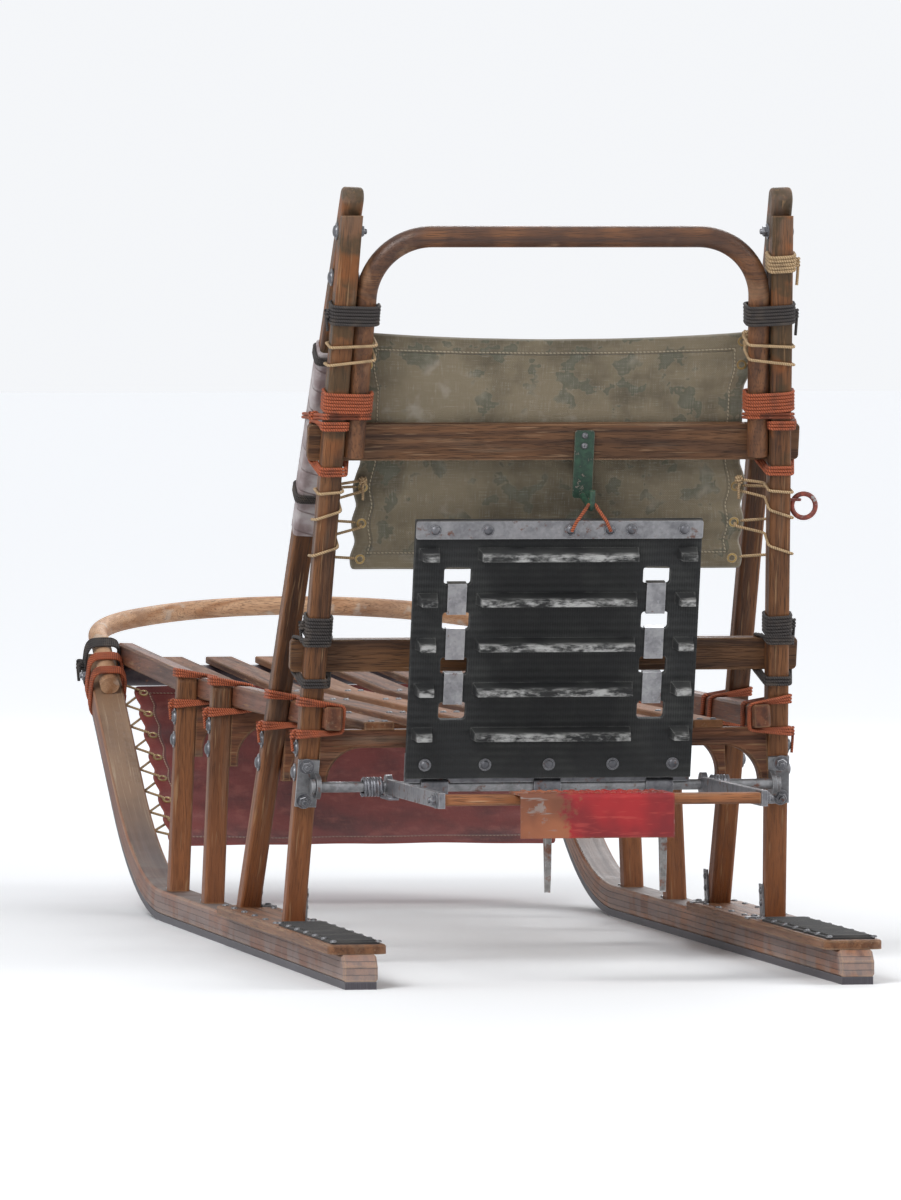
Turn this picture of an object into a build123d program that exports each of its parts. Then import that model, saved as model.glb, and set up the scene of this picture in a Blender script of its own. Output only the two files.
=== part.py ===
from build123d import *
import os
from math import atan2, cos, degrees, radians, sin

os.makedirs("parts", exist_ok=True)

# Millimetres. +Y is forward, +X the sled's right and +Z up. The origin is on the floor, in the
# middle of the sled's length and width. Side profiles are drawn in stations, the distance
# forward of the runners' tails, and in heights above the floor.

# Runners: laminated ash, level along the floor and bent up at the nose, on plastic shoes
runner_spacing = 645.0
runner_width = 45.0
runner_depth = 34.0
runner_level = 1600.0
nose_radius = 880.0
nose_angle = 32.0
nose_lead = 335.0
tail_chamfer = 14.0
runner_edge = 3.0
shoe_depth = 10.0
shoe_width = 41.0

# Footboards on the runners' tails, with ribbed rubber treads
footboard_width = 76.0
footboard_depth = 12.0
footboard_start = 16.0
footboard_end = 978.0
footboard_corner = 18.0
footboard_edge = 2.0
tread_width = 62.0
tread_start = 34.0
tread_length = 442.0
tread_corner = 6.0
tread_base = 3.0
rib_height = 2.5
rib_width = 8.0
rib_count = 28
rib_end_gap = 4.0
rib_draft = 12.0

# Side frames: poles that stand on the runners and lean in by lean_in at pole_top_height
pole_thickness = 28.0
pole_edge = 5.0
pole_top_height = 1020.0
lean_in = 40.0
strut_foot = 930.0
strut_top = 300.0
strut_foot_depth = 35.0
strut_depth = 29.0
upright_foot = 545.0
upright_foot_depth = 26.0
upright_depth = 32.0
upright_below_top = 35.0
stanchion_depth = 36.0
stanchion_top_depth = 30.0
stanchion_above_rail = 8.0
middle_station = 1245.0
front_station = 1565.0

# Bed: cross beams with arched undersides, side rails and long slats that rise to the nose
beam_top = 312.0
beam_thickness = 24.0
beam_middle_depth = 24.0
beam_end_depth = 80.0
beam_haunch = 12.0
beam_knee_radius = 48.0
beam_edge = 2.5
bed_overhang = 2.0
bed_bend = 1640.0
bed_bend_radius = 700.0
slat_count = 7
slat_width = 40.0
slat_depth = 10.0
slat_edge = 1.5
rail_thickness = 24.0
rail_depth = 30.0
rail_edge = 3.0
rail_past_bed = 32.0
bed_past_nose_bar = 26.0

# Nose: a steel cross bar, a canvas apron, the bent brush bow and the tow eye
nose_bar_radius = 15.0
nose_bar_back = 32.0
apron_depth = 4.0
apron_start_angle = 22.0
apron_below_bar = 6.0
bow_radius = 14.0
bow_leg = 105.0
bow_bend_radius = 60.0
bow_pitch = 10.0
bow_side_radius = 190.0
bow_side_angle = 50.0
tow_thickness = 10.0
tow_reach = 40.0
tow_lobe_radius = 19.0
tow_neck = 26.0
tow_bore_radius = 8.0

# Back: the bent handle bow, lashed inside the uprights, two slats and a cloth in front of them
handle_below_top = 62.0
handle_radius = 14.0
handle_bend_radius = 84.0
handle_leg_above_slat = 10.0
back_slat_depth = 10.0
back_slat_overhang = 22.0
back_slat_corner = 6.0
upper_slat = (662.0, 709.0)
lower_slat = (384.0, 426.0)
cloth_depth = 8.0
cloth_heights = (512.0, 828.0)
cloth_side_gap = 8.0
splint_heights = (612.0, 814.0)
splint_wall = 3.0

# Pivot rod behind the uprights, which carries the drag mat and the brake
pivot_up = 197.0
pivot_back = 38.0
pivot_radius = 7.0
pivot_head_radius = 10.5
pivot_head = 5.0
pivot_end_play = 1.0
bracket_base = 5.0
bracket_half_height = 32.0
bracket_lug = 6.0
bracket_boss_radius = 15.0

# Drag mat: a length of snow-vehicle track, cut off and hung by a hinge plate
mat_width = 380.0
mat_length = 365.0
belt_start = 14.0
belt_face = 4.0
belt_depth = 8.0
lug_pitch = 61.0
lug_first = 76.0
lug_bar_gap = 8.0
lug_height = 28.0
lug_base = 15.0
lug_taper = 7.0
lug_edge_gap = 6.0
window_centre = 132.0
window_width = 36.0
window_height = 24.0
window_corner = 5.0
window_gap = 8.0
drive_lug = 20.0
drive_lug_height = 11.0
drive_lug_centre = 78.0
drive_lug_draft = 18.0
clip_width = 25.0
clip_wall = 2.3
hinge_start = 4.0
hinge_end = 46.0
hinge_depth = 4.0
knuckle_radius = 12.0
knuckle_width = 36.0
knuckle_spacing = 150.0
knuckle_count = 3
mat_bar_height = 24.0
mat_bar_depth = 5.0
mat_bar_corner = 3.0
hook_across = 40.0
hook_radius = 4.0
hook_clear = 12.0
hook_reach = 74.0
hook_tip = 26.0
hook_bend = 9.0
hook_strap_width = 26.0
hook_strap_depth = 3.0
hook_strap_corner = 4.0
hook_strap_below_slat_top = 8.0

# Claw brake: two arms on the same rod, a wooden cross bar, a red treadle and two claws
arm_centre = 210.0
arm_thickness = 8.0
arm_height = 20.0
arm_length = 416.0
arm_boss_radius = 16.0
crossbar_near = 376.0
crossbar_depth = 34.0
crossbar_height = 14.0
crossbar_edge = 4.0
treadle_width = 200.0
treadle_centre = -15.0
treadle_past_bar = 4.0
treadle_wall = 3.0
treadle_depth = 84.0
treadle_lip = 57.0
treadle_bend = 8.0
claw_spacing = 150.0
claw_thickness = 8.0
claw_width = 22.0
claw_reach = 118.0
claw_sweep = 14.0
claw_belly = 8.0
claw_bow = 0.5
spring_wire = 5.0
spring_turns = 6
spring_mean_radius = 11.4
spring_core_radius = 8.0
spring_gap = 3.0
spring_tail = 64.0

# Tether ring on the right upright, in a staple
ring_height = 605.0
ring_mean_radius = 15.7
ring_wire_radius = 3.3
staple_wire_radius = 2.0
staple_half_width = 8.0
staple_rise_angle = 127.0
staple_bend = 3.0
ring_off_face = 1.0

# Clearances
running_clearance = 0.3
seat_clearance = 0.3
hole_clearance = 0.15

# Places worked out from the sizes above
half_spacing = runner_spacing / 2
runner_bottom = shoe_depth
runner_top = runner_bottom + runner_depth
foot_height = runner_top + footboard_depth
lean = atan2(lean_in, pole_top_height - foot_height)
strut_rake = atan2(strut_foot - strut_top, pole_top_height - foot_height)
upright_rake = atan2(upright_foot - strut_top, pole_top_height - foot_height)
tip = radians(nose_angle)
tip_station = runner_level + nose_radius * sin(tip) + nose_lead * cos(tip)
tip_height = runner_bottom + nose_radius * (1 - cos(tip)) + nose_lead * sin(tip)

# The brush bow's leg lies on the upper face of the runner's nose and ends at its tip
leg_offset = runner_depth + bow_radius + seat_clearance
leg_end = (tip_station - leg_offset * sin(tip), tip_height + leg_offset * cos(tip))
leg_start = (leg_end[0] - bow_leg * cos(tip), leg_end[1] - bow_leg * sin(tip))
pitch = radians(bow_pitch)
bow_start = (
    leg_end[0] + bow_bend_radius * (sin(tip) - sin(pitch)),
    leg_end[1] + bow_bend_radius * (cos(pitch) - cos(tip)),
)
side_turn = radians(bow_side_angle)
bow_front_radius = (half_spacing - bow_side_radius * (1 - cos(side_turn))) / cos(side_turn)
bow_reach = bow_side_radius * sin(side_turn) + bow_front_radius * (1 - sin(side_turn))
overall_length = bow_start[0] + bow_reach * cos(pitch) + bow_radius
tail_y = -overall_length / 2

# The nose bar lies in the middle of the runners' depth, a little below their tips
nose_bar_station = tip_station - nose_bar_back * cos(tip) - runner_depth / 2 * sin(tip)
nose_bar_height = tip_height - nose_bar_back * sin(tip) + runner_depth / 2 * cos(tip)
bed_rise = atan2(
    nose_bar_height + nose_bar_radius + seat_clearance - beam_top,
    nose_bar_station - bed_bend,
)

# The pivot, from the middle of the uprights' feet, up along them and back from them
pivot_station = upright_foot - pivot_up * sin(upright_rake) - pivot_back * cos(upright_rake)
pivot_height = foot_height + pivot_up * cos(upright_rake) - pivot_back * sin(upright_rake)


def side_plane(across):
    """The upright plane along the sled at this distance across: local X is station, Y height."""
    return Plane(origin=(across, tail_y, 0), x_dir=(0, 1, 0), z_dir=(1, 0, 0))


def cross_plane(station):
    """The upright plane across the sled at this station: local X is across, Y height."""
    return Plane(origin=(0, tail_y + station, 0), x_dir=(1, 0, 0), z_dir=(0, -1, 0))


def leaning_plane(outward=0.0):
    """The right side frame's plane: local X is station, Y runs up the lean from the foot height."""
    base = Plane(
        origin=(half_spacing, tail_y, foot_height),
        x_dir=(0, 1, 0),
        z_dir=(cos(lean), 0, sin(lean)),
    )
    return base.offset(outward)


def back_plane(backward=0.0):
    """The plane of the uprights: local X is across, Y runs up them from their feet."""
    base = Plane(
        origin=(0, tail_y + upright_foot, foot_height),
        x_dir=(1, 0, 0),
        z_dir=(0, -cos(upright_rake), -sin(upright_rake)),
    )
    return base.offset(backward)


def inner_face(height):
    """How far across the poles' inner faces are at this height."""
    return half_spacing - (height - foot_height) * sin(lean) / cos(lean) - pole_thickness / 2 / cos(lean)


def along_upright(height):
    """The distance up the uprights at which their middle line has this height."""
    return (height - foot_height) / cos(upright_rake)


def save(piece, name):
    """Label a finished piece and write it."""
    piece.part.label = name
    export_step(piece.part, f"parts/{name}.step")


def save_pair(right, name):
    """Write a piece of the right side, and its mirror image for the left side."""
    with BuildPart() as left:
        mirror(right.part, about=Plane.YZ)
    save(right, f"{name}_right")
    save(left, f"{name}_left")


def bent_strip(start, level, radius, angle, lead, depth):
    """A strip from the side: level, bent up to the angle, then straight. radius is its lower face's."""
    with BuildSketch() as strip:
        with BuildLine():
            lower = Line(start, (start[0] + level, start[1]))
            lower_bend = JernArc(lower @ 1, (1, 0), radius, angle)
            lower_lead = Line(lower_bend @ 1, lower_bend @ 1 + lower_bend % 1 * lead)
            upper = Line((start[0], start[1] + depth), (start[0] + level, start[1] + depth))
            upper_bend = JernArc(upper @ 1, (1, 0), radius - depth, angle)
            upper_lead = Line(upper_bend @ 1, upper_bend @ 1 + upper_bend % 1 * lead)
            Line(lower @ 0, upper @ 0)
            Line(lower_lead @ 1, upper_lead @ 1)
        make_face()
    return strip.sketch_local


# Runner: one bent strip a side, its tail sloped off underneath, edges eased
with BuildPart() as runner:
    with BuildSketch(side_plane(half_spacing)):
        add(bent_strip((0, runner_bottom), runner_level, nose_radius, nose_angle, nose_lead, runner_depth))
    extrude(amount=runner_width / 2, both=True)
    tail = runner.faces().sort_by(Axis.Y)[0]
    chamfer(tail.edges().sort_by(Axis.Z)[-1], tail_chamfer)
    sides = runner.faces().filter_by(Axis.X)
    chamfer(sides.edges(), runner_edge)
save_pair(runner, "runner")

# Shoe: a plastic strip under the runner and round its nose
with BuildPart() as shoe:
    with BuildSketch(side_plane(half_spacing)):
        add(bent_strip((0, 0), runner_level, nose_radius + shoe_depth, nose_angle, nose_lead, shoe_depth))
    extrude(amount=shoe_width / 2, both=True)
save_pair(shoe, "shoe")

# Footboard: a plank on the runner's tail, on which the side frame's two rear poles stand
footboard_length = footboard_end - footboard_start
with BuildPart() as footboard:
    with BuildSketch(Plane.XY.offset(runner_top)):
        with Locations((half_spacing, tail_y + (footboard_start + footboard_end) / 2)):
            RectangleRounded(footboard_width, footboard_length, footboard_corner)
    extrude(amount=footboard_depth)
    chamfer(footboard.faces().sort_by(Axis.Z)[-1].edges(), footboard_edge)
save_pair(footboard, "footboard")

# Tread: a rubber pad on the footboard's tail, with ribs across it
rib_pitch = tread_length / rib_count
with BuildPart() as tread:
    with BuildSketch(Plane.XY.offset(foot_height)):
        with Locations((half_spacing, tail_y + tread_start + tread_length / 2)):
            RectangleRounded(tread_width, tread_length, tread_corner)
    extrude(amount=tread_base)
    with BuildSketch(Plane.XY.offset(foot_height + tread_base)):
        with Locations((half_spacing, tail_y + tread_start + tread_length / 2)):
            with GridLocations(1, rib_pitch, 1, rib_count):
                Rectangle(tread_width - 2 * rib_end_gap, rib_width)
    extrude(amount=rib_height, taper=rib_draft)
save_pair(tread, "tread")


def pole(foot, rake, foot_level, length, foot_depth, bend_at, depth):
    """A pole in the leaning side frame, tapered from its foot to bend_at, with a rounded top end."""
    frame = leaning_plane()
    axis = Plane(
        origin=frame.from_local_coords((foot, (foot_level - foot_height) / cos(lean), 0)),
        x_dir=frame.x_dir * -sin(rake) + frame.y_dir * cos(rake),
        z_dir=frame.z_dir,
    )
    below = foot_depth * 2
    half = depth / 2
    with BuildPart() as built:
        with BuildSketch(axis):
            with BuildLine():
                start = Polyline(
                    (length - half, -half), (bend_at, -half), (0, -foot_depth / 2), (-below, -foot_depth / 2)
                )
                end = Polyline(
                    (length - half, half), (bend_at, half), (0, foot_depth / 2), (-below, foot_depth / 2)
                )
                Line(start @ 1, end @ 1)
                ThreePointArc(start @ 0, (length, 0), end @ 0)
            make_face()
        extrude(amount=pole_thickness / 2, both=True)
        caps = built.faces().filter_by(Plane(axis.origin, z_dir=axis.z_dir))
        fillet(caps.edges(), pole_edge)
        split(bisect_by=Plane.XY.offset(foot_level), keep=Keep.TOP)
    return built


# Strut: the long pole that rakes back from the middle of the runner to above the handlebar
strut_length = (pole_top_height - foot_height) / cos(strut_rake) / cos(lean)
strut_bend = (beam_top - foot_height) / cos(strut_rake)
strut = pole(strut_foot, strut_rake, foot_height, strut_length, strut_foot_depth, strut_bend, strut_depth)
save_pair(strut, "strut")

# Upright: the steeper rear pole, whose top is scarfed to the strut's rear face
upright_length = (pole_top_height - foot_height) / cos(upright_rake) / cos(lean)
upright_bend = along_upright(beam_top - beam_end_depth)
frame_plane = leaning_plane()
strut_normal = frame_plane.x_dir * -cos(strut_rake) + frame_plane.y_dir * -sin(strut_rake)
strut_rear = Plane(
    origin=frame_plane.from_local_coords((strut_foot, 0, 0)) + strut_normal * (strut_depth / 2),
    z_dir=strut_normal,
)
upright_blank = pole(
    upright_foot, upright_rake, foot_height, upright_length, upright_foot_depth, upright_bend, upright_depth
)
with BuildPart() as upright:
    add(upright_blank.part)
    split(bisect_by=strut_rear, keep=Keep.TOP)
    split(bisect_by=Plane.XY.offset(pole_top_height - upright_below_top), keep=Keep.BOTTOM)
save_pair(upright, "upright")

# Stanchions: the short posts under the bed, on the runner, up past the side rail
stanchion_length = beam_top + rail_depth + stanchion_above_rail - runner_top
stanchion_bend = beam_top - beam_end_depth - runner_top
for name, station in (("middle_stanchion", middle_station), ("front_stanchion", front_station)):
    post = pole(
        station, 0.0, runner_top, stanchion_length, stanchion_depth, stanchion_bend, stanchion_top_depth
    )
    save_pair(post, name)

# Splint: a wrapped repair round the middle of the left strut
with BuildPart() as splint:
    middle_rake = strut_foot - (splint_heights[0] - foot_height) * sin(strut_rake) / cos(strut_rake)
    splint_plane = Plane(
        origin=frame_plane.from_local_coords((middle_rake, (splint_heights[0] - foot_height) / cos(lean), 0)),
        x_dir=frame_plane.x_dir * cos(strut_rake) + frame_plane.y_dir * sin(strut_rake),
        z_dir=frame_plane.x_dir * -sin(strut_rake) + frame_plane.y_dir * cos(strut_rake),
    )
    splint_inner = (strut_depth + 2 * seat_clearance, pole_thickness + 2 * seat_clearance)
    with BuildSketch(splint_plane):
        RectangleRounded(
            splint_inner[0] + 2 * splint_wall, splint_inner[1] + 2 * splint_wall, pole_edge + splint_wall
        )
        RectangleRounded(splint_inner[0], splint_inner[1], pole_edge, mode=Mode.SUBTRACT)
    extrude(amount=(splint_heights[1] - splint_heights[0]) / cos(strut_rake))
with BuildPart() as strut_splint:
    mirror(splint.part, about=Plane.YZ)
save(strut_splint, "strut_splint")

# Cross beams: one at each pair of posts, between their inner faces, arched underneath
beam_rise = beam_top - beam_middle_depth - foot_height
strut_beam_station = strut_foot - beam_rise * sin(strut_rake) / cos(strut_rake)
rear_beam_station = upright_foot - beam_rise * sin(upright_rake) / cos(upright_rake)
beam_bottom = beam_top - beam_end_depth
for name, station in (
    ("rear_beam", rear_beam_station),
    ("strut_beam", strut_beam_station),
    ("middle_beam", middle_station),
    ("front_beam", front_station),
):
    with BuildPart() as beam:
        with BuildSketch(cross_plane(station)):
            with BuildLine():
                haunch = inner_face(beam_bottom) - beam_haunch
                middle = beam_top - beam_middle_depth
                top_line = Line((-inner_face(beam_top), beam_top), (inner_face(beam_top), beam_top))
                right_end = Line(top_line @ 1, (inner_face(beam_bottom), beam_bottom))
                Line(right_end @ 1, (haunch, beam_bottom))
                FilletPolyline(
                    (haunch, beam_bottom), (haunch, middle), (-haunch, middle), (-haunch, beam_bottom),
                    radius=beam_knee_radius,
                )
                left_end = Line((-haunch, beam_bottom), (-inner_face(beam_bottom), beam_bottom))
                Line(left_end @ 1, top_line @ 0)
            make_face()
        extrude(amount=beam_thickness / 2, both=True)
        rims = beam.faces().filter_by(Axis.Y).edges()
        chamfer(rims.filter_by(lambda edge: abs(edge.center().X) < haunch).sort_by(Axis.Z)[:-2], beam_edge)
    save(beam, name)

# Bed slats: long strips on the beams, bent up a little so that their ends land on the nose bar
bed_start = rear_beam_station - beam_thickness / 2 - bed_overhang
bed_level = bed_bend - bed_start
bed_lead = (nose_bar_station - bed_bend) / cos(bed_rise) + bed_past_nose_bar
bed_tangent = bed_bend_radius * sin(bed_rise / 2) / cos(bed_rise / 2)
slats_between = 2 * (inner_face(beam_top + rail_depth) - rail_thickness)
slat_gap = (slats_between - slat_count * slat_width) / (slat_count + 1)
slat_profile = bent_strip(
    (bed_start, beam_top),
    bed_level - bed_tangent,
    bed_bend_radius,
    degrees(bed_rise),
    bed_lead - bed_tangent,
    slat_depth,
)
with BuildPart() as bed_slats:
    for number in range(slat_count):
        middle = (number - (slat_count - 1) / 2) * (slat_width + slat_gap)
        with BuildSketch(side_plane(middle)):
            add(slat_profile)
        extrude(amount=slat_width / 2, both=True)
    chamfer(bed_slats.faces().filter_by(Axis.X).edges(), slat_edge)
save(bed_slats, "bed_slats")

# Side rail: a deeper strip on the beams' ends and past the uprights, against the posts' inner faces
rail_outer = -pole_thickness / 2
rail_up = beam_top + seat_clearance - foot_height - (rail_outer - rail_thickness) * sin(lean)
rail_profile = bent_strip(
    (bed_start - rail_past_bed, rail_up / cos(lean)),
    rail_past_bed + bed_level - bed_tangent,
    bed_bend_radius,
    degrees(bed_rise),
    bed_lead - bed_tangent,
    rail_depth,
)
with BuildPart() as side_rail:
    with BuildSketch(leaning_plane(rail_outer)):
        add(rail_profile)
    extrude(amount=-rail_thickness)
    chamfer(side_rail.faces().filter_by(leaning_plane()).edges(), rail_edge)
save_pair(side_rail, "side_rail")

# Nose bar: a steel bar between the runners' inner faces
runner_inner = half_spacing - runner_width / 2
with BuildPart() as nose_bar:
    with BuildSketch(side_plane(0)):
        with Locations((nose_bar_station, nose_bar_height)):
            Circle(nose_bar_radius)
    extrude(amount=runner_inner, both=True)
save(nose_bar, "nose_bar")

# Nose apron: canvas laced between the runners' noses, in the middle of their depth
apron_lower_radius = nose_radius - (runner_depth - apron_depth) / 2
apron_lead = nose_lead - nose_bar_back - nose_bar_radius - apron_below_bar
bend_centre = (runner_level, runner_bottom + nose_radius)
with BuildPart() as nose_apron:
    with BuildSketch(side_plane(0)):
        with BuildLine():
            start_angle = apron_start_angle - 90
            lower = CenterArc(bend_centre, apron_lower_radius, start_angle, nose_angle - apron_start_angle)
            lower_run = Line(lower @ 1, lower @ 1 + lower % 1 * apron_lead)
            upper = CenterArc(
                bend_centre, apron_lower_radius - apron_depth, start_angle, nose_angle - apron_start_angle
            )
            upper_run = Line(upper @ 1, upper @ 1 + upper % 1 * apron_lead)
            Line(lower @ 0, upper @ 0)
            Line(lower_run @ 1, upper_run @ 1)
        make_face()
    extrude(amount=runner_inner - seat_clearance, both=True)
save(nose_apron, "nose_apron")

# Brush bow: a bent hoop whose legs are lashed on the runners' noses
bow_plane = Plane(
    origin=(half_spacing, tail_y + bow_start[0], bow_start[1]),
    x_dir=(1, 0, 0),
    z_dir=(0, -sin(pitch), cos(pitch)),
)
with BuildPart() as brush_bow:
    with BuildLine(side_plane(half_spacing)) as bow_leg_line:
        leg_line = Line(leg_start, leg_end)
        JernArc(leg_end, (cos(tip), sin(tip)), bow_bend_radius, bow_pitch - nose_angle)
    with BuildLine(bow_plane) as hoop_line:
        hoop_side = JernArc((0, 0), (0, 1), bow_side_radius, bow_side_angle)
        JernArc(hoop_side @ 1, hoop_side % 1, bow_front_radius, 90 - bow_side_angle)
    bow_path = Wire(bow_leg_line.edges() + hoop_line.edges())
    with BuildSketch(Plane(origin=bow_path @ 0, z_dir=bow_path % 0)):
        Circle(bow_radius)
    sweep(path=bow_path)
    mirror(about=Plane.YZ)
save(brush_bow, "brush_bow")

# Tow eye: a level plate welded to the front of the nose bar, bored for the towing shackle
tow_station = nose_bar_station + tow_reach
with BuildPart() as tow_eye:
    with BuildSketch(Plane.XY.offset(nose_bar_height)):
        with Locations((0, tail_y + tow_station - tow_reach / 2)):
            Rectangle(tow_neck, tow_reach)
        with Locations((0, tail_y + tow_station)):
            Circle(tow_lobe_radius)
            Circle(tow_bore_radius, mode=Mode.SUBTRACT)
    extrude(amount=tow_thickness / 2, both=True)
    with BuildSketch(side_plane(0)):
        with Locations((nose_bar_station, nose_bar_height)):
            Circle(nose_bar_radius + hole_clearance)
        with Locations((nose_bar_station - nose_bar_radius, nose_bar_height)):
            Rectangle(2 * nose_bar_radius, 2 * nose_bar_radius)
    extrude(amount=tow_neck, both=True, mode=Mode.SUBTRACT)
save(tow_eye, "tow_eye")

# Handle bow: a bent hoop whose legs are lashed to the uprights' inner faces
handle_height = pole_top_height - handle_below_top
handle_leg_height = upper_slat[0] + handle_leg_above_slat
handle_inset = handle_radius / cos(lean) + seat_clearance
handle_top = along_upright(handle_height)
handle_low = along_upright(handle_leg_height)
with BuildPart() as handle_bow:
    with BuildLine(back_plane()) as handle_line:
        FilletPolyline(
            (inner_face(handle_leg_height) - handle_inset, handle_low),
            (inner_face(handle_height) - handle_inset, handle_top),
            (handle_inset - inner_face(handle_height), handle_top),
            (handle_inset - inner_face(handle_leg_height), handle_low),
            radius=handle_bend_radius,
        )
    handle_path = handle_line.wire()
    with BuildSketch(Plane(origin=handle_path @ 0, z_dir=handle_path % 0)):
        Circle(handle_radius)
    sweep(path=handle_path)
save(handle_bow, "handle_bow")

# Back slats: flat slats across the front faces of the uprights
slat_face = -upright_depth / 2 - seat_clearance
for name, heights in (("back_slat_upper", upper_slat), ("back_slat_lower", lower_slat)):
    low, high = (along_upright(height) for height in heights)
    half_width = inner_face(heights[1]) + pole_thickness + back_slat_overhang - pole_edge
    with BuildPart() as back_slat:
        with BuildSketch(back_plane(slat_face)):
            with Locations((0, (low + high) / 2)):
                RectangleRounded(2 * half_width, high - low, back_slat_corner)
        extrude(amount=-back_slat_depth)
    save(back_slat, name)

# Back cloth: a plain panel for the cloth that hangs in front of the back slats
cloth_low, cloth_high = (along_upright(height) for height in cloth_heights)
with BuildPart() as back_cloth:
    with BuildSketch(back_plane(slat_face - back_slat_depth - seat_clearance)):
        with Locations((0, (cloth_low + cloth_high) / 2)):
            Rectangle(2 * (inner_face(cloth_heights[1]) - cloth_side_gap), cloth_high - cloth_low)
    extrude(amount=-cloth_depth)
save(back_cloth, "back_cloth")

# Pivot brackets: a base bolted on the upright's rear face, with a lug that carries the rod
upright_axis = Plane(
    origin=frame_plane.from_local_coords((upright_foot, 0, 0)),
    x_dir=frame_plane.x_dir * -sin(upright_rake) + frame_plane.y_dir * cos(upright_rake),
    z_dir=frame_plane.z_dir,
)
with BuildPart() as pivot_bracket:
    with BuildSketch(upright_axis.offset(-pole_thickness / 2)):
        with Locations((pivot_up, upright_depth / 2 + bracket_base / 2)):
            Rectangle(2 * bracket_half_height, bracket_base)
    extrude(amount=pole_thickness)
    with BuildSketch(upright_axis.offset(-pole_thickness / 2)):
        with Locations((pivot_up, pivot_back)):
            Circle(bracket_boss_radius)
        with Locations((pivot_up, (upright_depth / 2 + pivot_back) / 2)):
            Rectangle(2 * bracket_boss_radius, pivot_back - upright_depth / 2)
    extrude(amount=bracket_lug)
    with BuildSketch(side_plane(0)):
        with Locations((pivot_station, pivot_height)):
            Circle(pivot_radius + hole_clearance)
    extrude(amount=runner_spacing, mode=Mode.SUBTRACT)
save_pair(pivot_bracket, "pivot_bracket")

# Pivot rod: one steel rod through both lugs, headed outside them
lug_outer = inner_face(pivot_height) + bracket_lug + pivot_end_play
with BuildPart() as pivot_rod:
    with BuildSketch(side_plane(0)):
        with Locations((pivot_station, pivot_height)):
            Circle(pivot_radius)
    extrude(amount=lug_outer + pivot_head, both=True)
    for sense in (-1, 1):
        with BuildSketch(side_plane(sense * lug_outer)):
            with Locations((pivot_station, pivot_height)):
                Circle(pivot_head_radius)
        extrude(amount=sense * pivot_head)
save(pivot_rod, "pivot_rod")


def mat_plane(backward):
    """The stowed mat's plane: X is across, Y the distance up from the pivot rod."""
    base = back_plane(pivot_back)
    return Plane(
        origin=base.from_local_coords((0, pivot_up, backward)), x_dir=base.x_dir, z_dir=base.z_dir
    )


# Mat belt: a rubber belt with paddles behind, guide lugs in front and windows for the clips
belt_back = belt_face + belt_depth
last_row = mat_length - mat_bar_height - lug_bar_gap - lug_base / 2
row_count = int((last_row - lug_first) // lug_pitch) + 1
rows = [lug_first + number * lug_pitch for number in range(row_count)]
lug_inner_end = window_centre - window_width / 2 - window_gap
lug_outer_start = window_centre + window_width / 2 + window_gap
lug_outer_end = mat_width / 2 - lug_edge_gap
lug_outer_middle = (lug_outer_start + lug_outer_end) / 2
lug_outer_width = lug_outer_end - lug_outer_start
with BuildPart() as mat_belt:
    with BuildSketch(mat_plane(belt_face)):
        with Locations((0, (belt_start + mat_length) / 2)):
            Rectangle(mat_width, mat_length - belt_start)
        for row in rows[:-1]:
            with Locations((-window_centre, row + lug_pitch / 2), (window_centre, row + lug_pitch / 2)):
                RectangleRounded(window_width, window_height, window_corner, mode=Mode.SUBTRACT)
    extrude(amount=belt_depth)
    with BuildSketch(mat_plane(belt_back)):
        for row in rows:
            with Locations((0, row)):
                Rectangle(2 * lug_inner_end, lug_base)
            with Locations((-lug_outer_middle, row), (lug_outer_middle, row)):
                Rectangle(lug_outer_width, lug_base)
    extrude(amount=lug_height, taper=lug_taper)
    with BuildSketch(mat_plane(belt_face)):
        for row in rows:
            with Locations((-drive_lug_centre, row), (drive_lug_centre, row)):
                Rectangle(drive_lug, drive_lug)
    extrude(amount=-drive_lug_height, taper=drive_lug_draft)
save(mat_belt, "mat_belt")

# Mat clips: sheet steel rings round the belt between its windows
clip_inner = (lug_pitch - window_height) / 2 + hole_clearance
stowed = mat_plane(0)
with BuildPart() as mat_clips:
    for side in (-1, 1):
        clip_origin = stowed.from_local_coords((side * window_centre, 0, 0))
        with BuildSketch(Plane(clip_origin, x_dir=stowed.y_dir, z_dir=(1, 0, 0))):
            for row in rows[1:-1]:
                with Locations((row, belt_face + belt_depth / 2)):
                    Rectangle(2 * (clip_inner + clip_wall), belt_depth + 2 * (clip_wall + hole_clearance))
                    Rectangle(2 * clip_inner, belt_depth + 2 * hole_clearance, mode=Mode.SUBTRACT)
        extrude(amount=clip_width / 2, both=True)
save(mat_clips, "mat_clips")

# Mat hinge: a steel plate on the belt's front face with knuckles round the pivot rod
with BuildPart() as mat_hinge:
    with BuildSketch(mat_plane(belt_face - hinge_depth)):
        with Locations((0, (hinge_start + hinge_end) / 2)):
            Rectangle(mat_width, hinge_end - hinge_start)
    extrude(amount=hinge_depth)
    for number in range(knuckle_count):
        middle = (number - (knuckle_count - 1) / 2) * knuckle_spacing
        with BuildSketch(side_plane(middle)):
            with Locations((pivot_station, pivot_height)):
                Circle(knuckle_radius)
        extrude(amount=knuckle_width / 2, both=True)
    with BuildSketch(side_plane(0)):
        with Locations((pivot_station, pivot_height)):
            Circle(pivot_radius + running_clearance)
    extrude(amount=mat_width, both=True, mode=Mode.SUBTRACT)
save(mat_hinge, "mat_hinge")

# Mat bar: a flat steel bar that stiffens the mat's free edge
with BuildPart() as mat_bar:
    with BuildSketch(mat_plane(belt_back)):
        with Locations((0, mat_length - mat_bar_height / 2)):
            RectangleRounded(mat_width, mat_bar_height, mat_bar_corner)
    extrude(amount=mat_bar_depth)
save(mat_bar, "mat_bar")

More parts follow.
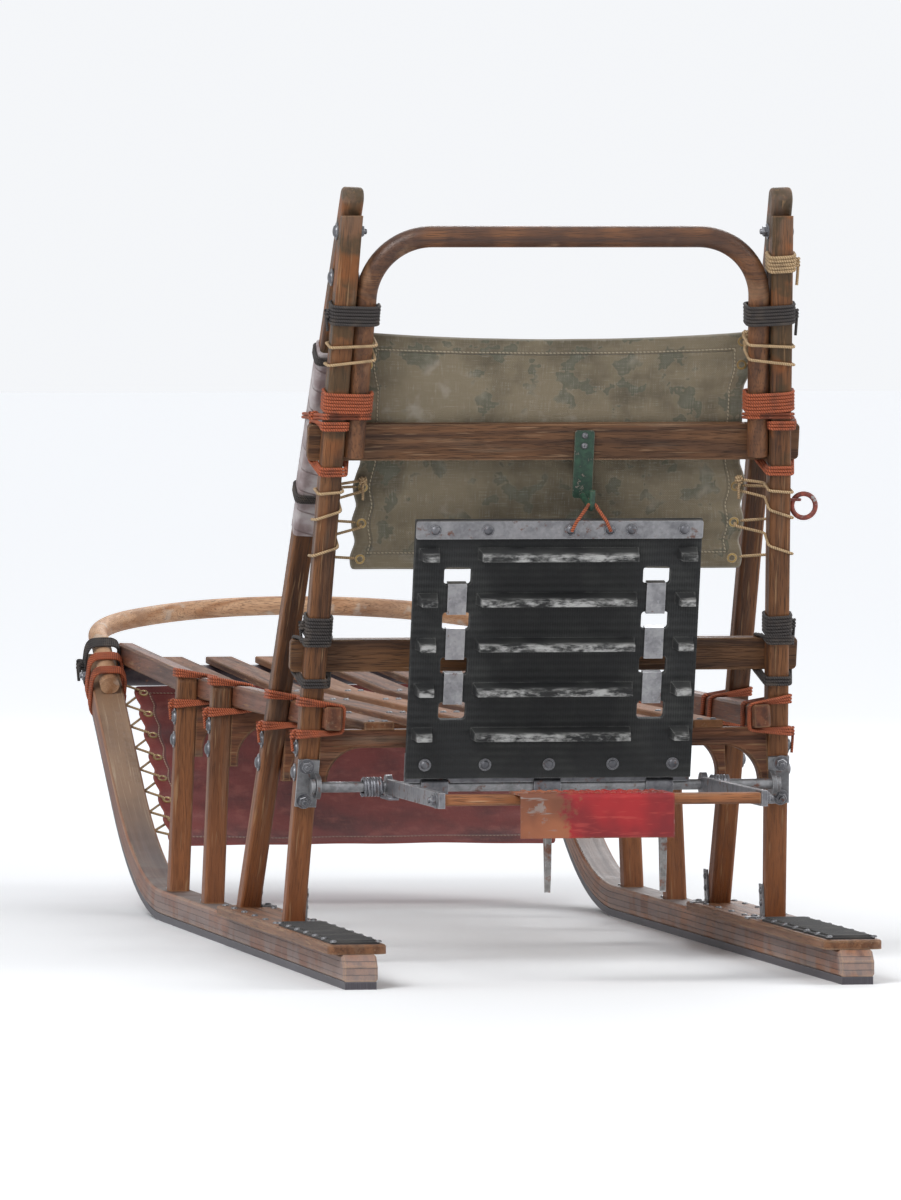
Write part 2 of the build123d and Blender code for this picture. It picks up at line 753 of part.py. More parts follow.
# Mat hook: a bent rod on a strap that hangs from the upper back slat, above the stowed mat's edge
hook_up = pivot_up + mat_length + hook_clear
hook_base = -upright_depth / 2 - seat_clearance
strap_top = along_upright(upper_slat[1]) - hook_strap_below_slat_top
with BuildPart() as mat_hook:
    with BuildSketch(back_plane(hook_base)):
        with Locations((hook_across, (hook_up + strap_top) / 2)):
            RectangleRounded(hook_strap_width, strap_top - hook_up, hook_strap_corner)
    extrude(amount=hook_strap_depth)
    hook_origin = back_plane(hook_base).from_local_coords((hook_across, hook_up + hook_radius, 0))
    with BuildLine(Plane(hook_origin, x_dir=back_plane().z_dir, z_dir=(1, 0, 0))) as hook_line:
        FilletPolyline((0, 0), (hook_reach, 0), (hook_reach, -hook_tip), radius=hook_bend)
    hook_path = hook_line.wire()
    with BuildSketch(Plane(origin=hook_path @ 0, z_dir=hook_path % 0)):
        Circle(hook_radius)
    sweep(path=hook_path)
save(mat_hook, "mat_hook")

# Brake arm: a flat steel bar from the pivot rod back to the treadle's cross bar
arm_inner = arm_centre - arm_thickness / 2
with BuildPart() as brake_arm:
    with BuildSketch(side_plane(arm_inner)):
        with Locations((pivot_station, pivot_height)):
            Circle(arm_boss_radius)
        with Locations((pivot_station - arm_length / 2, pivot_height)):
            Rectangle(arm_length, arm_height)
        with Locations((pivot_station, pivot_height)):
            Circle(pivot_radius + running_clearance, mode=Mode.SUBTRACT)
    extrude(amount=arm_thickness)
save_pair(brake_arm, "brake_arm")

# Brake cross bar: a wooden bar bolted between the arms
crossbar_station = pivot_station - crossbar_near - crossbar_depth / 2
with BuildPart() as brake_crossbar:
    with BuildSketch(side_plane(0)):
        with Locations((crossbar_station, pivot_height)):
            RectangleRounded(crossbar_depth, crossbar_height, crossbar_edge)
    extrude(amount=arm_inner, both=True)
save(brake_crossbar, "brake_crossbar")

# Brake treadle: a folded plate on the cross bar, with a lip turned down behind
treadle_top = pivot_height + crossbar_height / 2
treadle_front = pivot_station - crossbar_near + treadle_past_bar
with BuildPart() as brake_treadle:
    with BuildSketch(side_plane(treadle_centre)):
        with BuildLine():
            outer = FilletPolyline(
                (treadle_front, treadle_top + treadle_wall),
                (treadle_front - treadle_depth, treadle_top + treadle_wall),
                (treadle_front - treadle_depth, treadle_top + treadle_wall - treadle_lip),
                radius=treadle_bend,
            )
            inner = FilletPolyline(
                (treadle_front, treadle_top),
                (treadle_front - treadle_depth + treadle_wall, treadle_top),
                (treadle_front - treadle_depth + treadle_wall, treadle_top + treadle_wall - treadle_lip),
                radius=treadle_bend - treadle_wall,
            )
            Line(outer @ 0, inner @ 0)
            Line(outer @ 1, inner @ 1)
        make_face()
    extrude(amount=treadle_width / 2, both=True)
save(brake_treadle, "brake_treadle")

# Brake claws: two steel spikes bolted behind the cross bar, that bite when the treadle is pressed
claw_front = pivot_station - crossbar_near - crossbar_depth
claw_back = claw_front - claw_width
claw_top = treadle_top - seat_clearance
claw_middle = pivot_height - (claw_reach + crossbar_height) / 2
claw_point = (claw_front - claw_sweep, pivot_height - claw_reach)
with BuildPart() as brake_claws:
    for side in (-1, 1):
        with BuildSketch(side_plane(side * claw_spacing / 2)):
            with BuildLine():
                back_line = Line((claw_back, claw_top), (claw_back, pivot_height - crossbar_height))
                back_arc = ThreePointArc(back_line @ 1, (claw_back - claw_bow, claw_middle), claw_point)
                front_arc = ThreePointArc(
                    claw_point,
                    (claw_front - claw_belly, claw_middle),
                    (claw_front, pivot_height - crossbar_height),
                )
                front_line = Line(front_arc @ 1, (claw_front, claw_top))
                Line(front_line @ 1, back_line @ 0)
            make_face()
        extrude(amount=claw_thickness / 2, both=True)
save(brake_claws, "brake_claws")

# Brake springs: coils on the rod outside the arms, whose tails lift the arms
coil_start = arm_centre + arm_thickness / 2 + spring_gap
coil_length = spring_turns * spring_wire
pivot_place = (0, tail_y + pivot_station, pivot_height)
with BuildPart() as brake_spring:
    with BuildSketch(Plane(origin=pivot_place, x_dir=(1, 0, 0), z_dir=(0, -1, 0))):
        with Locations((coil_start + coil_length / 2, (spring_core_radius + spring_mean_radius) / 2)):
            Rectangle(coil_length, spring_mean_radius - spring_core_radius)
        for turn in range(spring_turns):
            with Locations((coil_start + (turn + 0.5) * spring_wire, spring_mean_radius)):
                Circle(spring_wire / 2)
    revolve(axis=Axis(pivot_place, (1, 0, 0)))
    tail_drop = arm_height / 2 + spring_wire / 2 + running_clearance
    tail_across = coil_start + spring_wire / 2
    with BuildSketch(cross_plane(pivot_station)):
        with Locations((tail_across, pivot_height - tail_drop)):
            Circle(spring_wire / 2)
    extrude(amount=spring_tail)
    with BuildSketch(side_plane(arm_inner)):
        with Locations((pivot_station - spring_tail + spring_wire / 2, pivot_height - tail_drop)):
            Circle(spring_wire / 2)
    extrude(amount=tail_across - arm_inner)
save_pair(brake_spring, "brake_spring")

# Tether ring: hangs in a staple on the right upright's outer face
ring_station = upright_foot - (ring_height - foot_height) * sin(upright_rake) / cos(upright_rake)
ring_face = inner_face(ring_height) + pole_thickness / cos(lean)
ring_middle = ring_face + ring_mean_radius + ring_wire_radius + ring_off_face
rest_angle = radians(staple_rise_angle)
rest_radius = ring_mean_radius - ring_wire_radius - staple_wire_radius - seat_clearance
staple_across = ring_middle + rest_radius * cos(rest_angle)
staple_height = ring_height + rest_radius * sin(rest_angle)
staple_root = inner_face(staple_height) + pole_thickness / cos(lean) + hole_clearance
ring_place = (ring_middle, tail_y + ring_station, ring_height)
with BuildPart() as tether_ring:
    with BuildSketch(Plane(origin=ring_place, x_dir=(1, 0, 0), z_dir=(0, 0, 1))):
        with Locations((ring_mean_radius, 0)):
            Circle(ring_wire_radius)
    revolve(axis=Axis(ring_place, (0, 1, 0)))
    with BuildLine(Plane(origin=(staple_root, tail_y + ring_station, staple_height))) as staple_line:
        FilletPolyline(
            (0, -staple_half_width),
            (staple_across - staple_root, -staple_half_width),
            (staple_across - staple_root, staple_half_width),
            (0, staple_half_width),
            radius=staple_bend,
        )
    with BuildSketch(Plane(origin=staple_line.wire() @ 0, z_dir=staple_line.wire() % 0)):
        Circle(staple_wire_radius)
    sweep(path=staple_line.wire())
save(tether_ring, "tether_ring")
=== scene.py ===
from math import cos, pi, radians, sin

import bmesh
import bpy
from mathutils import Matrix, Vector
from mathutils.noise import noise as ripple


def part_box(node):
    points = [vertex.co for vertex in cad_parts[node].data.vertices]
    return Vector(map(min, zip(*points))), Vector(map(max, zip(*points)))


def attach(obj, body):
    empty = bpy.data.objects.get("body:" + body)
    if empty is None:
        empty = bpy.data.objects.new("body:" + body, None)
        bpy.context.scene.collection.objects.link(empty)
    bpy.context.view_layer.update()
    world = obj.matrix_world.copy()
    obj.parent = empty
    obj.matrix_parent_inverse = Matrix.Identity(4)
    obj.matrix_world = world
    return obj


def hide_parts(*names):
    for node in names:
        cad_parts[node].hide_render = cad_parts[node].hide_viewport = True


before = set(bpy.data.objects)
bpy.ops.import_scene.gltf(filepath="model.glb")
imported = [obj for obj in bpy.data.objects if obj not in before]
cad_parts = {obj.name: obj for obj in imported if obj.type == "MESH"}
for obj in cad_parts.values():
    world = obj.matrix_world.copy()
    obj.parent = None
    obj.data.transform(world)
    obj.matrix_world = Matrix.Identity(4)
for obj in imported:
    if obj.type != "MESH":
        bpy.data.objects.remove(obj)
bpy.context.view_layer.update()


# View: from behind the sled, a little to its left and at the height of its handle. The lens is long,
# so the sled fills the frame from as far away as it really stands.
def placed(name, data):
    """A new object of this name in the scene."""
    made = bpy.data.objects.new(name, data)
    bpy.context.scene.collection.objects.link(made)
    return made


def aimed(thing, place, target):
    """Stand the camera or a lamp at a place and turn it to a target."""
    thing.location = place
    thing.rotation_euler = (Vector(target) - Vector(place)).to_track_quat("-Z", "Y").to_euler()


rear_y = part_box("shoe_left")[0][1]
camera = placed("camera", bpy.data.cameras.new("camera"))
aimed(camera, (-2.84, rear_y - 15.25, 0.95), (-0.012, -0.17, 0.462))
camera.data.lens = 365
camera.data.clip_end = 300
bpy.context.scene.camera = camera


# Runners: two long strips of ash, each glued up from four thin layers and bent over a form, so that
# the nose sweeps up. Varnished, with painted light on the nose's upper face, scrapes on it, and painted
# shade outside.
class Strand:
    """A value on its way through a node tree; sums and products of it add Math nodes."""

    def __init__(self, works, socket):
        self.works = works
        self.socket = socket

    def __add__(self, other):
        return self.works.maths("ADD", self, other)

    def __sub__(self, other):
        return self.works.maths("SUBTRACT", self, other)

    def __rsub__(self, other):
        return self.works.maths("SUBTRACT", other, self)

    def __mul__(self, other):
        return self.works.maths("MULTIPLY", self, other)

    def __truediv__(self, other):
        return self.works.maths("DIVIDE", self, other)

    def __pow__(self, other):
        return self.works.maths("POWER", self, other)

    def __gt__(self, other):
        return self.works.maths("GREATER_THAN", self, other)

    __radd__ = __add__
    __rmul__ = __mul__


class Works:
    """A node tree that is built one node at a time."""

    def __init__(self, tree):
        self.tree = tree

    def node(self, kind, settings=None, values=None, output=0):
        made = self.tree.nodes.new(kind)
        for word, value in (settings or {}).items():
            setattr(made, word, value)
        for socket, value in (values or {}).items():
            entry = made.inputs[socket]
            if isinstance(value, Strand):
                self.tree.links.new(value.socket, entry)
            elif entry.type == "RGBA":
                entry.default_value = (*value[:3], 1.0)
            else:
                entry.default_value = value
        return Strand(self, made.outputs[output])

    def maths(self, operation, first, second=0.0):
        return self.node("ShaderNodeMath", {"operation": operation}, {0: first, 1: second})

    def sine(self, value):
        return self.maths("SINE", value)

    def cosine(self, value):
        return self.maths("COSINE", value)

    def least(self, first, second):
        return self.maths("MINIMUM", first, second)

    def most(self, first, second):
        return self.maths("MAXIMUM", first, second)

    def join(self, x, y, z):
        return self.node("ShaderNodeCombineXYZ", {}, {0: x, 1: y, 2: z})

    def dot(self, vector, direction):
        settings = {"operation": "DOT_PRODUCT"}
        return self.node("ShaderNodeVectorMath", settings, {0: vector, 1: direction}, "Value")


class Finish(Works):
    """A material: a Principled shader whose colour, roughness and relief are worked out by nodes."""

    def __init__(self, name, colour=None, **constants):
        self.colour = tint(colour) if colour else None
        self.material = bpy.data.materials.new(name)
        self.material.use_nodes = True
        super().__init__(self.material.node_tree)
        self.shader = self.tree.nodes["Principled BSDF"]
        for word, value in constants.items():
            self.shader.inputs[word.replace("_", " ")].default_value = value
        self.place = self.node("ShaderNodeTexCoord", {}, {}, "Object")

    def reach(self, way):
        """How far along a direction each point of the piece lies, in metres."""
        return self.dot(self.place, tuple(way))

    def across(self):
        return self.reach((1, 0, 0))

    def fore(self):
        return self.reach((0, 1, 0))

    def height(self):
        return self.reach((0, 0, 1))

    def mix(self, first, second, share):
        return self.node("ShaderNodeMix", {"data_type": "RGBA"}, {0: share, 6: first, 7: second}, 2)

    def over(self, colour, share, light=1.0):
        """Lay another colour, with this much of its light, over what is there."""
        self.colour = self.mix(self.colour, tint(colour, light), share)

    def smooth(self, value, low, high):
        limits = {"Value": value, "From Min": low, "From Max": high}
        return self.node("ShaderNodeMapRange", {"interpolation_type": "SMOOTHSTEP"}, limits)

    def noise(self, place, detail=2.0, roughness=0.5):
        """Noise at a place, which is a node's or three values."""
        vector = self.join(*place) if type(place) is tuple else place
        values = {"Vector": vector, "Scale": 1.0, "Detail": detail, "Roughness": roughness}
        return self.node("ShaderNodeTexNoise", {}, values)

    def speckle(self, scale, detail=2.0, offset=0.0, roughness=0.5):
        """Even noise with this many features to a metre."""
        values = {"Vector": self.place, "Location": (offset,) * 3, "Scale": (scale,) * 3}
        return self.noise(self.node("ShaderNodeMapping", {}, values), detail, roughness)

    def facing(self, direction):
        """How squarely each face looks in a direction."""
        return self.dot(self.node("ShaderNodeNewGeometry", {}, {}, "Normal"), direction)

    def edges(self, radius):
        """1 on edges that hands, boots and cords rub, 0 on flat faces."""
        rounded = self.node("ShaderNodeBevel", {"samples": 3}, {"Radius": radius})
        return self.smooth(1.0 - self.facing(rounded), 0.015, 0.22)

    def done(self, roughness, relief, depth, metal=None):
        """Lead the colour and the rest to the shader; the relief is as deep as given, in metres."""
        bumped = self.node("ShaderNodeBump", {}, {"Height": relief, "Distance": depth})
        outcome = {"Base Color": self.colour, "Roughness": roughness, "Normal": bumped, "Metallic": metal}
        for socket, value in outcome.items():
            if value is not None:
                self.tree.links.new(value.socket, self.shader.inputs[socket])


def tint(colour, light=1.0):
    """A colour written as it looks, 0 to 255, as the shader wants it, with this much of its light."""
    parts = [part / 255 for part in colour]
    parts = [part / 12.92 if part < 0.04045 else ((part + 0.055) / 1.055) ** 2.4 for part in parts]
    return tuple(part * light for part in parts)


def at(across, station, height):
    """A place on the sled, from millimetres across, forward of the runners' tails and up."""
    return Vector((across / 1000, rear_y + station / 1000, height / 1000))


def dress(finish, *nodes):
    """Give these CAD nodes their finish."""
    for name in nodes:
        for piece_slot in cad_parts[name].material_slots:
            piece_slot.material = finish.material


def grain(wood, along, across, through, dark, seed):
    """Ash figure on three distances in metres: growth rings, fibre streaks and pores."""
    drift = wood.noise((along * 0.9 + seed, across * 9.0, through * 9.0), 2.0)
    rings = wood.sine(across * 210.0 + through * 130.0 + drift * 34.0) * 0.5 + 0.5
    streaks = wood.noise((along * 3.0 + seed, across * 150.0, through * 150.0), 3.0, 0.6)
    pores = wood.noise((along * 34.0, across * 1100.0 + seed, through * 1100.0), 1.0)
    late = wood.smooth(rings, 0.35, 1.0) * 0.55 + wood.smooth(streaks, 0.35, 0.7) * 0.5
    wood.over(dark, late)
    veins = wood.noise((along * 1.6 + seed, across * 60.0, through * 60.0), 1.0) - 0.5
    checks = 1.0 - wood.smooth(wood.maths("ABSOLUTE", veins), 0.0, 0.011)
    pits = wood.most(wood.smooth(pores, 0.57, 0.68), checks * wood.smooth(drift, 0.46, 0.6))
    wood.over(dark, pits * 0.65, 0.3)
    return streaks, rings, pits


sides = (("left", -1), ("right", 1))
bend_middle = at(0, 1600, 890)
runner_radius, nose_turn, layer_thick = 0.88, radians(32), 0.0085
for side, sign in sides:
    seed = sign * 3.1
    wood = Finish(f"runner_ash_{side}", (150, 98, 62), Coat_Roughness=0.25)
    x, y, z = wood.across(), wood.fore() - bend_middle.y, wood.height() - bend_middle.z
    angle = wood.least(wood.most(wood.maths("ARCTAN2", y, 0.0 - z), 0.0), nose_turn)
    angle_sine, angle_cosine = wood.sine(angle), wood.cosine(angle)
    out_y, out_z = y - angle_sine * runner_radius, z + angle_cosine * runner_radius
    along = angle * runner_radius + out_y * angle_cosine + out_z * angle_sine
    through = out_z * angle_cosine - out_y * angle_sine
    layer = wood.maths("FLOOR", through / layer_thick)
    streaks, _, _ = grain(wood, along, x + layer * 0.37, through * 0.4, (98, 56, 36), seed)
    shade = wood.noise((layer * 7.3 + seed, along * 0.8, 0.0), 0.0)
    wood.over((140, 86, 56), wood.smooth(shade, 0.42, 0.66) * 0.3)
    within = through / layer_thick - layer
    glue = 1.0 - wood.smooth(wood.least(within, 1.0 - within), 0.02, 0.07)
    wood.over((44, 26, 18), glue * 0.8)
    # Painted light: the nose's upper face, which looks up and back, is painted paler; the scrapes laid on it
    # are wear.
    lit_nose_face = wood.smooth(wood.facing((0.0, -0.5, 0.85)), 0.55, 0.85)
    lit_nose_face = lit_nose_face * wood.smooth(wood.height(), 0.07, 0.2)
    cloud = wood.speckle(16.0, 3.0, 2.0)
    scraped = wood.noise((along * 7.0, x * 420.0, 3.0), 3.0, 0.65)
    wood.over((160, 129, 102), lit_nose_face * (0.55 + wood.smooth(cloud, 0.3, 0.6) * 0.2))
    wood.over((194, 174, 150), lit_nose_face * wood.smooth(scraped, 0.55, 0.7) * 0.6)
    # Painted shade: each runner's outer side is painted darker.
    outer = wood.smooth(wood.facing((float(sign), 0.0, 0.0)), 0.6, 0.9)
    wood.over((104, 62, 46), outer * 0.55)
    spray = (1.0 - wood.smooth(wood.height() + cloud * 0.09, 0.05, 0.16)) * wood.smooth(cloud, 0.35, 0.6)
    wood.over((150, 144, 142), spray * 0.62)
    wood.over((184, 152, 120), wood.edges(0.005) * wood.smooth(cloud, 0.38, 0.6) * 0.75)
    wood.done(0.42 + streaks * 0.25 + spray * 0.2, streaks - glue * 1.5, 0.0006)
    dress(wood, f"runner_{side}")

# Shoes: strips of hard plastic screwed under the runners from tail to nose tip, scored along their
# length by grit and rounded off where they meet the floor.
plastic = Finish("shoe_plastic", (62, 58, 64))
scores = plastic.noise((plastic.across() * 900.0, plastic.fore() * 3.0, 0.0), 2.0, 0.7)
haze = plastic.speckle(11.0, 3.0)
plastic.over((92, 90, 96), plastic.smooth(scores, 0.45, 0.7) * 0.7)
plastic.over((128, 124, 128), plastic.edges(0.003) * plastic.smooth(haze, 0.35, 0.6) * 0.7)
plastic.done(0.38 + scores * 0.3, scores, 0.0004)
dress(plastic, "shoe_left", "shoe_right")


# Footboards: ash planks screwed on the runners' tails, worn bare by boots. Each has a ribbed rubber
# tread, glued down and held with screws along its two sides.
def ash(name, axis, light, dark, rubbed, seed, foot_red=0.0, wear=0.5, polish=0.35, board=0.0, mottle=0.0):
    """A finish for straight ash whose grain runs along the axis; boards of a set differ in tone."""
    wood = Finish(name, light, Specular_IOR_Level=0.35)
    axis = Vector(axis).normalized()
    side = axis.orthogonal().normalized()
    along, across, through = (wood.reach(way) for way in (axis, side, axis.cross(side)))
    streaks, rings, pits = grain(wood, along, across, through, dark, seed)
    cloud = wood.speckle(7.0, 3.0, seed)
    wood.over(dark, wood.smooth(cloud, 0.5, 0.78) * 0.7, 0.42)
    weathered = wood.noise((along * 5.0 + seed, across * 60.0, through * 60.0), 3.0)
    wood.over((133, 116, 98), wood.smooth(weathered, 0.55, 0.75) * 0.3)
    wood.over((112, 100, 88), wood.smooth(wood.height() + streaks * 0.1, 0.94, 1.1) * 0.6)
    if board:
        number = wood.maths("ROUND", wood.across() / board)
        tone = wood.noise((number * 3.71 + 0.4, seed, 0.0), 0.0)
        wood.over((152, 104, 66), wood.smooth(tone, 0.5, 0.75) * 0.5)
        wood.over((72, 46, 32), wood.smooth(tone, 0.5, 0.3) * 0.5)
    if foot_red:
        low = 1.0 - wood.smooth(wood.height() + streaks * 0.08, 0.12, 0.42)
        wood.over((150, 90, 54), low * foot_red)
    if mottle:
        upper = wood.smooth(wood.height() + streaks * 0.06, 0.6, 0.8) * mottle
        mould, oil = wood.speckle(24.0, 3.0, seed + 2.0), wood.speckle(16.0, 3.0, seed + 8.0)
        wood.over((60, 50, 30), upper * wood.smooth(mould, 0.46, 0.57))
        wood.over((146, 84, 38), upper * wood.smooth(oil, 0.54, 0.64) * 0.75)
    scratches = wood.noise((along * 14.0, across * 240.0 + seed, through * 240.0), 2.0)
    scuffs = wood.smooth(scratches, 0.62, 0.72)
    bare = wood.most(wood.edges(0.004) * wear * wood.smooth(cloud, 0.3, 0.62), scuffs * 0.45)
    relief = streaks * 0.6 + rings * 0.25 - pits * 0.8 + scuffs * 0.3
    wood.over(rubbed, bare)
    wood.done(0.62 - polish * 0.6 + streaks * 0.3 + bare * 0.25, relief, 0.0006)
    return wood


class Recipe(Works):
    """A Geometry Nodes tree with named sizes, which turns a path or points into one plain mesh."""

    def __init__(self, name, **sizes):
        super().__init__(bpy.data.node_groups.new(name, "GeometryNodeTree"))
        kinds = {float: "NodeSocketFloat", int: "NodeSocketInt", str: "NodeSocketObject"}
        new_socket = self.tree.interface.new_socket
        new_socket("Geometry", in_out="OUTPUT", socket_type="NodeSocketGeometry")
        new_socket("Geometry", in_out="INPUT", socket_type="NodeSocketGeometry")
        finish_entry = new_socket("Finish", in_out="INPUT", socket_type="NodeSocketMaterial")
        self.keys = {"Finish": finish_entry.identifier}
        for word, value in sizes.items():
            entry = new_socket(word, in_out="INPUT", socket_type=kinds[type(value)])
            if type(value) is not str:
                entry.default_value = value
            self.keys[word] = entry.identifier
        self.entry = self.tree.nodes.new("NodeGroupInput")
        self.exit = self.tree.nodes.new("NodeGroupOutput")

    def given(self, word):
        return Strand(self, self.entry.outputs[word])

    def end(self, geometry):
        real = self.node("GeometryNodeRealizeInstances", {}, {0: geometry})
        dressed = self.node("GeometryNodeSetMaterial", {}, {0: real, 2: self.given("Finish")})
        self.tree.links.new(dressed.socket, self.exit.inputs[0])

    def run(self, start, finish, **sizes):
        """The mesh that the recipe makes from a start mesh."""
        draft = placed("draft", start)
        step = draft.modifiers.new("recipe", "NODES")
        step.node_group = self.tree
        step[self.keys["Finish"]] = finish.material
        for word, value in sizes.items():
            step[self.keys[word]] = value
        bpy.context.view_layer.update()
        made = bpy.data.meshes.new_from_object(draft.evaluated_get(bpy.context.evaluated_depsgraph_get()))
        bpy.data.objects.remove(draft)
        made.materials.clear()
        made.materials.append(finish.material)
        return made


def settled(form, name="form"):
    """The plain mesh of a form, which is then let go."""
    mesh = bpy.data.meshes.new(name)
    form.to_mesh(mesh)
    form.free()
    return mesh


def united(meshes, name):
    whole = bmesh.new()
    for mesh in meshes:
        whole.from_mesh(mesh)
    return settled(whole, name)


def keep(name, meshes, finish=None, body="sled", smooth=True):
    """One piece of the sled from these meshes, riding on a body."""
    mesh = united(meshes, name)
    mesh.materials.clear()
    mesh.materials.append(finish.material if finish else meshes[0].materials[0])
    for face in mesh.polygons:
        face.material_index = 0
        face.use_smooth = smooth
    if smooth:
        mesh.set_sharp_from_angle(angle=radians(38))
    piece = placed(name, mesh)
    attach(piece, body)
    return piece


def skinned(form, rings, hollow=False):
    """Faces between neighbouring rings of points, and over both ends or on from the last to the first."""
    count = len(rings[0])
    for low, high in zip(rings, rings[1:] + rings[:1] if hollow else rings[1:]):
        for n in range(count):
            form.faces.new((low[n], low[(n + 1) % count], high[(n + 1) % count], high[n]))
    if not hollow:
        form.faces.new(list(reversed(rings[0])))
        form.faces.new(rings[-1])


def turned(profile, facets, hollow=False):
    """A closed mesh turned round Z from (radius, height) points; a hollow one is a ring."""
    form = bmesh.new()
    round_z = [(cos(2 * pi * n / facets), sin(2 * pi * n / facets)) for n in range(facets)]
    rings = [[form.verts.new((wide * x, wide * y, height)) for x, y in round_z] for wide, height in profile]
    skinned(form, rings, hollow)
    return settled(form)


def template(name, *meshes):
    """The form that a recipe repeats."""
    return bpy.data.objects.new(name, united(meshes, name))


fasten = Recipe("fasteners", Form="object", Turn_seed=3)
facing = fasten.node("GeometryNodeInputNamedAttribute", {"data_type": "FLOAT_VECTOR"}, {"Name": "facing"})
upright_turn = fasten.node("FunctionNodeAlignRotationToVector", {"axis": "Z"}, {"Vector": facing})
full_turn = {2: 0.0, 3: 6.28, "Seed": fasten.given("Turn_seed")}
spin = fasten.node("FunctionNodeRandomValue", {"data_type": "FLOAT"}, full_turn, 1)
spun = fasten.node("FunctionNodeAxisAngleToRotation", {}, {"Axis": (0.0, 0.0, 1.0), "Angle": spin})
way = fasten.node("FunctionNodeRotateRotation", {"rotation_space": "LOCAL"}, {0: upright_turn, 1: spun})
form = fasten.node("GeometryNodeObjectInfo", {}, {0: fasten.given("Form")}, "Geometry")
stand = {"Points": fasten.given("Geometry"), "Instance": form, "Rotation": way}
fasten.end(fasten.node("GeometryNodeInstanceOnPoints", {}, stand))


def fastened(form, finish, places, seed=3):
    """The same fastener at each place, facing the way that is given with it."""
    points = bpy.data.meshes.new("places")
    points.from_pydata([place for place, facing in places], [], [])
    towards = points.attributes.new("facing", "FLOAT_VECTOR", "POINT")
    for entry, (place, facing) in zip(towards.data, places):
        entry.vector = Vector(facing).normalized()
    return fasten.run(points, finish, Form=form, Turn_seed=seed)


def fixings(name, *kinds, body="sled"):
    """One piece of zinc-plated fasteners, from (form, finish, places) for each kind."""
    keep(name, [fastened(*kind) for kind in kinds], body=body)


def steel(name, bright, dull, rust_share, seed, rust=(98, 52, 28)):
    """Zinc-plated steel gone dull, with scratches and a little rust in its corners."""
    metal = Finish(name, bright)
    bloom = metal.node("ShaderNodeTexVoronoi", {}, {"Vector": metal.place, "Scale": 260.0}, "Color")
    patch = metal.dot(bloom, (0.33, 0.33, 0.33))
    haze = metal.speckle(45.0, 4.0, seed, 0.65)
    metal.over(dull, patch * 0.5 + metal.smooth(haze, 0.4, 0.65) * 0.5)
    grit = metal.speckle(60.0, 4.0, seed + 5.0, 0.7)
    rusty = metal.smooth(grit, 0.66 - rust_share, 0.74 - rust_share * 0.6)
    metal.over(rust, rusty * 0.85)
    metal.over((206, 206, 208), metal.edges(0.0015) * (1.0 - rusty) * 0.6)
    metal.done(0.32 + haze * 0.25 + rusty * 0.35, haze * 0.4 + rusty * 0.6, 0.0003, 0.8 - rusty * 0.75)
    return metal


screw_steel = steel("screw_zinc", (128, 128, 130), (92, 92, 96), 0.03, 1.0)
screw_profile = [(0.0045, -0.001), (0.0045, 0.0004), (0.0040, 0.0014), (0.0026, 0.0021), (0.0020, 0.0021)]
screw = template("screw", turned(screw_profile + [(0.0018, 0.0008)], 10))
runner_middle = 322.5
board_top, tread_top = 56.3, 59.2
for side, sign in sides:
    tones = (130, 88, 58), (88, 55, 35), (174, 148, 120)
    dress(ash(f"footboard_ash_{side}", (0, 1, 0), *tones, 8 + sign, wear=0.9), f"footboard_{side}")
    edge_screws = [
        (at(sign * runner_middle + across, station, board_top), (0, 0, 1))
        for station in (520, 610, 700, 790, 880, 955)
        for across in (-27, 27)
    ]
    tread_screws = [
        (at(sign * runner_middle + across, 38 + 72 * number, tread_top), (0, 0, 1))
        for number in range(7)
        for across in (-29, 29)
    ]
    screw_rows = (screw, screw_steel, edge_screws), (screw, screw_steel, tread_screws, 5)
    fixings(f"footboard_screws_{side}", *screw_rows)
tread = Finish("tread_rubber", (40, 40, 42))
grime = tread.speckle(24.0, 4.0)
tread.over((74, 72, 70), tread.smooth(grime, 0.45, 0.7) * 0.7)
tread.over((112, 108, 104), tread.edges(0.002) * 0.5)
tread.done(0.72 + grime * 0.15, tread.speckle(700.0, 2.0), 0.0003)
dress(tread, "tread_left", "tread_right")

# Side frames: on each runner a strut rakes back to the top and a steeper upright meets it there, with
# two short stanchions under the bed. Ash poles with eased edges, oiled dark and worn red at the feet.
pole_rubbed = (166, 132, 96)
pole_tones = (122, 78, 44), (66, 40, 23), pole_rubbed
strut_foot, upright_foot, foot_height = 930, 545, 56
top_across, top_station, top_height = 282.5, 300, 1020
lean, strut_rake = 0.0415, 0.6535
for side, sign in sides:
    for number, (name, foot) in enumerate((("strut", strut_foot), ("upright", upright_foot))):
        axis = at(sign * top_across, top_station, top_height) - at(sign * runner_middle, foot, foot_height)
        seed = 11 * number + sign * 2.7
        pole = ash(f"{name}_ash_{side}", axis, *pole_tones, seed, foot_red=0.5, wear=0.75, mottle=0.7)
        dress(pole, f"{name}_{side}")
    axis = (-sign * lean, 0, 1)
    post = ash(f"stanchion_ash_{side}", axis, *pole_tones, 31 + sign, foot_red=0.45, wear=0.7)
    dress(post, f"middle_stanchion_{side}", f"front_stanchion_{side}")


# Bolts: the poles are bolted to each other and to the beams. Each bolt is zinc-plated, with a washer
# under a hexagon nut or a domed head.
def strut_at(height):
    """How far forward of the runners' tails a strut's middle is at a height, in millimetres."""
    return strut_foot - (height - foot_height) * strut_rake


def upright_at(height):
    """The same of an upright."""
    return upright_foot - (height - foot_height) * 0.25415


def inner_at(height):
    """How far across the poles' inner faces are at a height, in millimetres."""
    return runner_middle - (height - foot_height) * lean - 14.01


def by_pole(sign, past, height, station=None):
    """A place this far past the poles' inner faces, at the upright unless a station is given."""
    return at(sign * (inner_at(height) + past), station or upright_at(height), height)


def washer(radius):
    return turned([(radius, 0.0), (radius, 0.0016), (radius * 0.35, 0.0016)], 20)


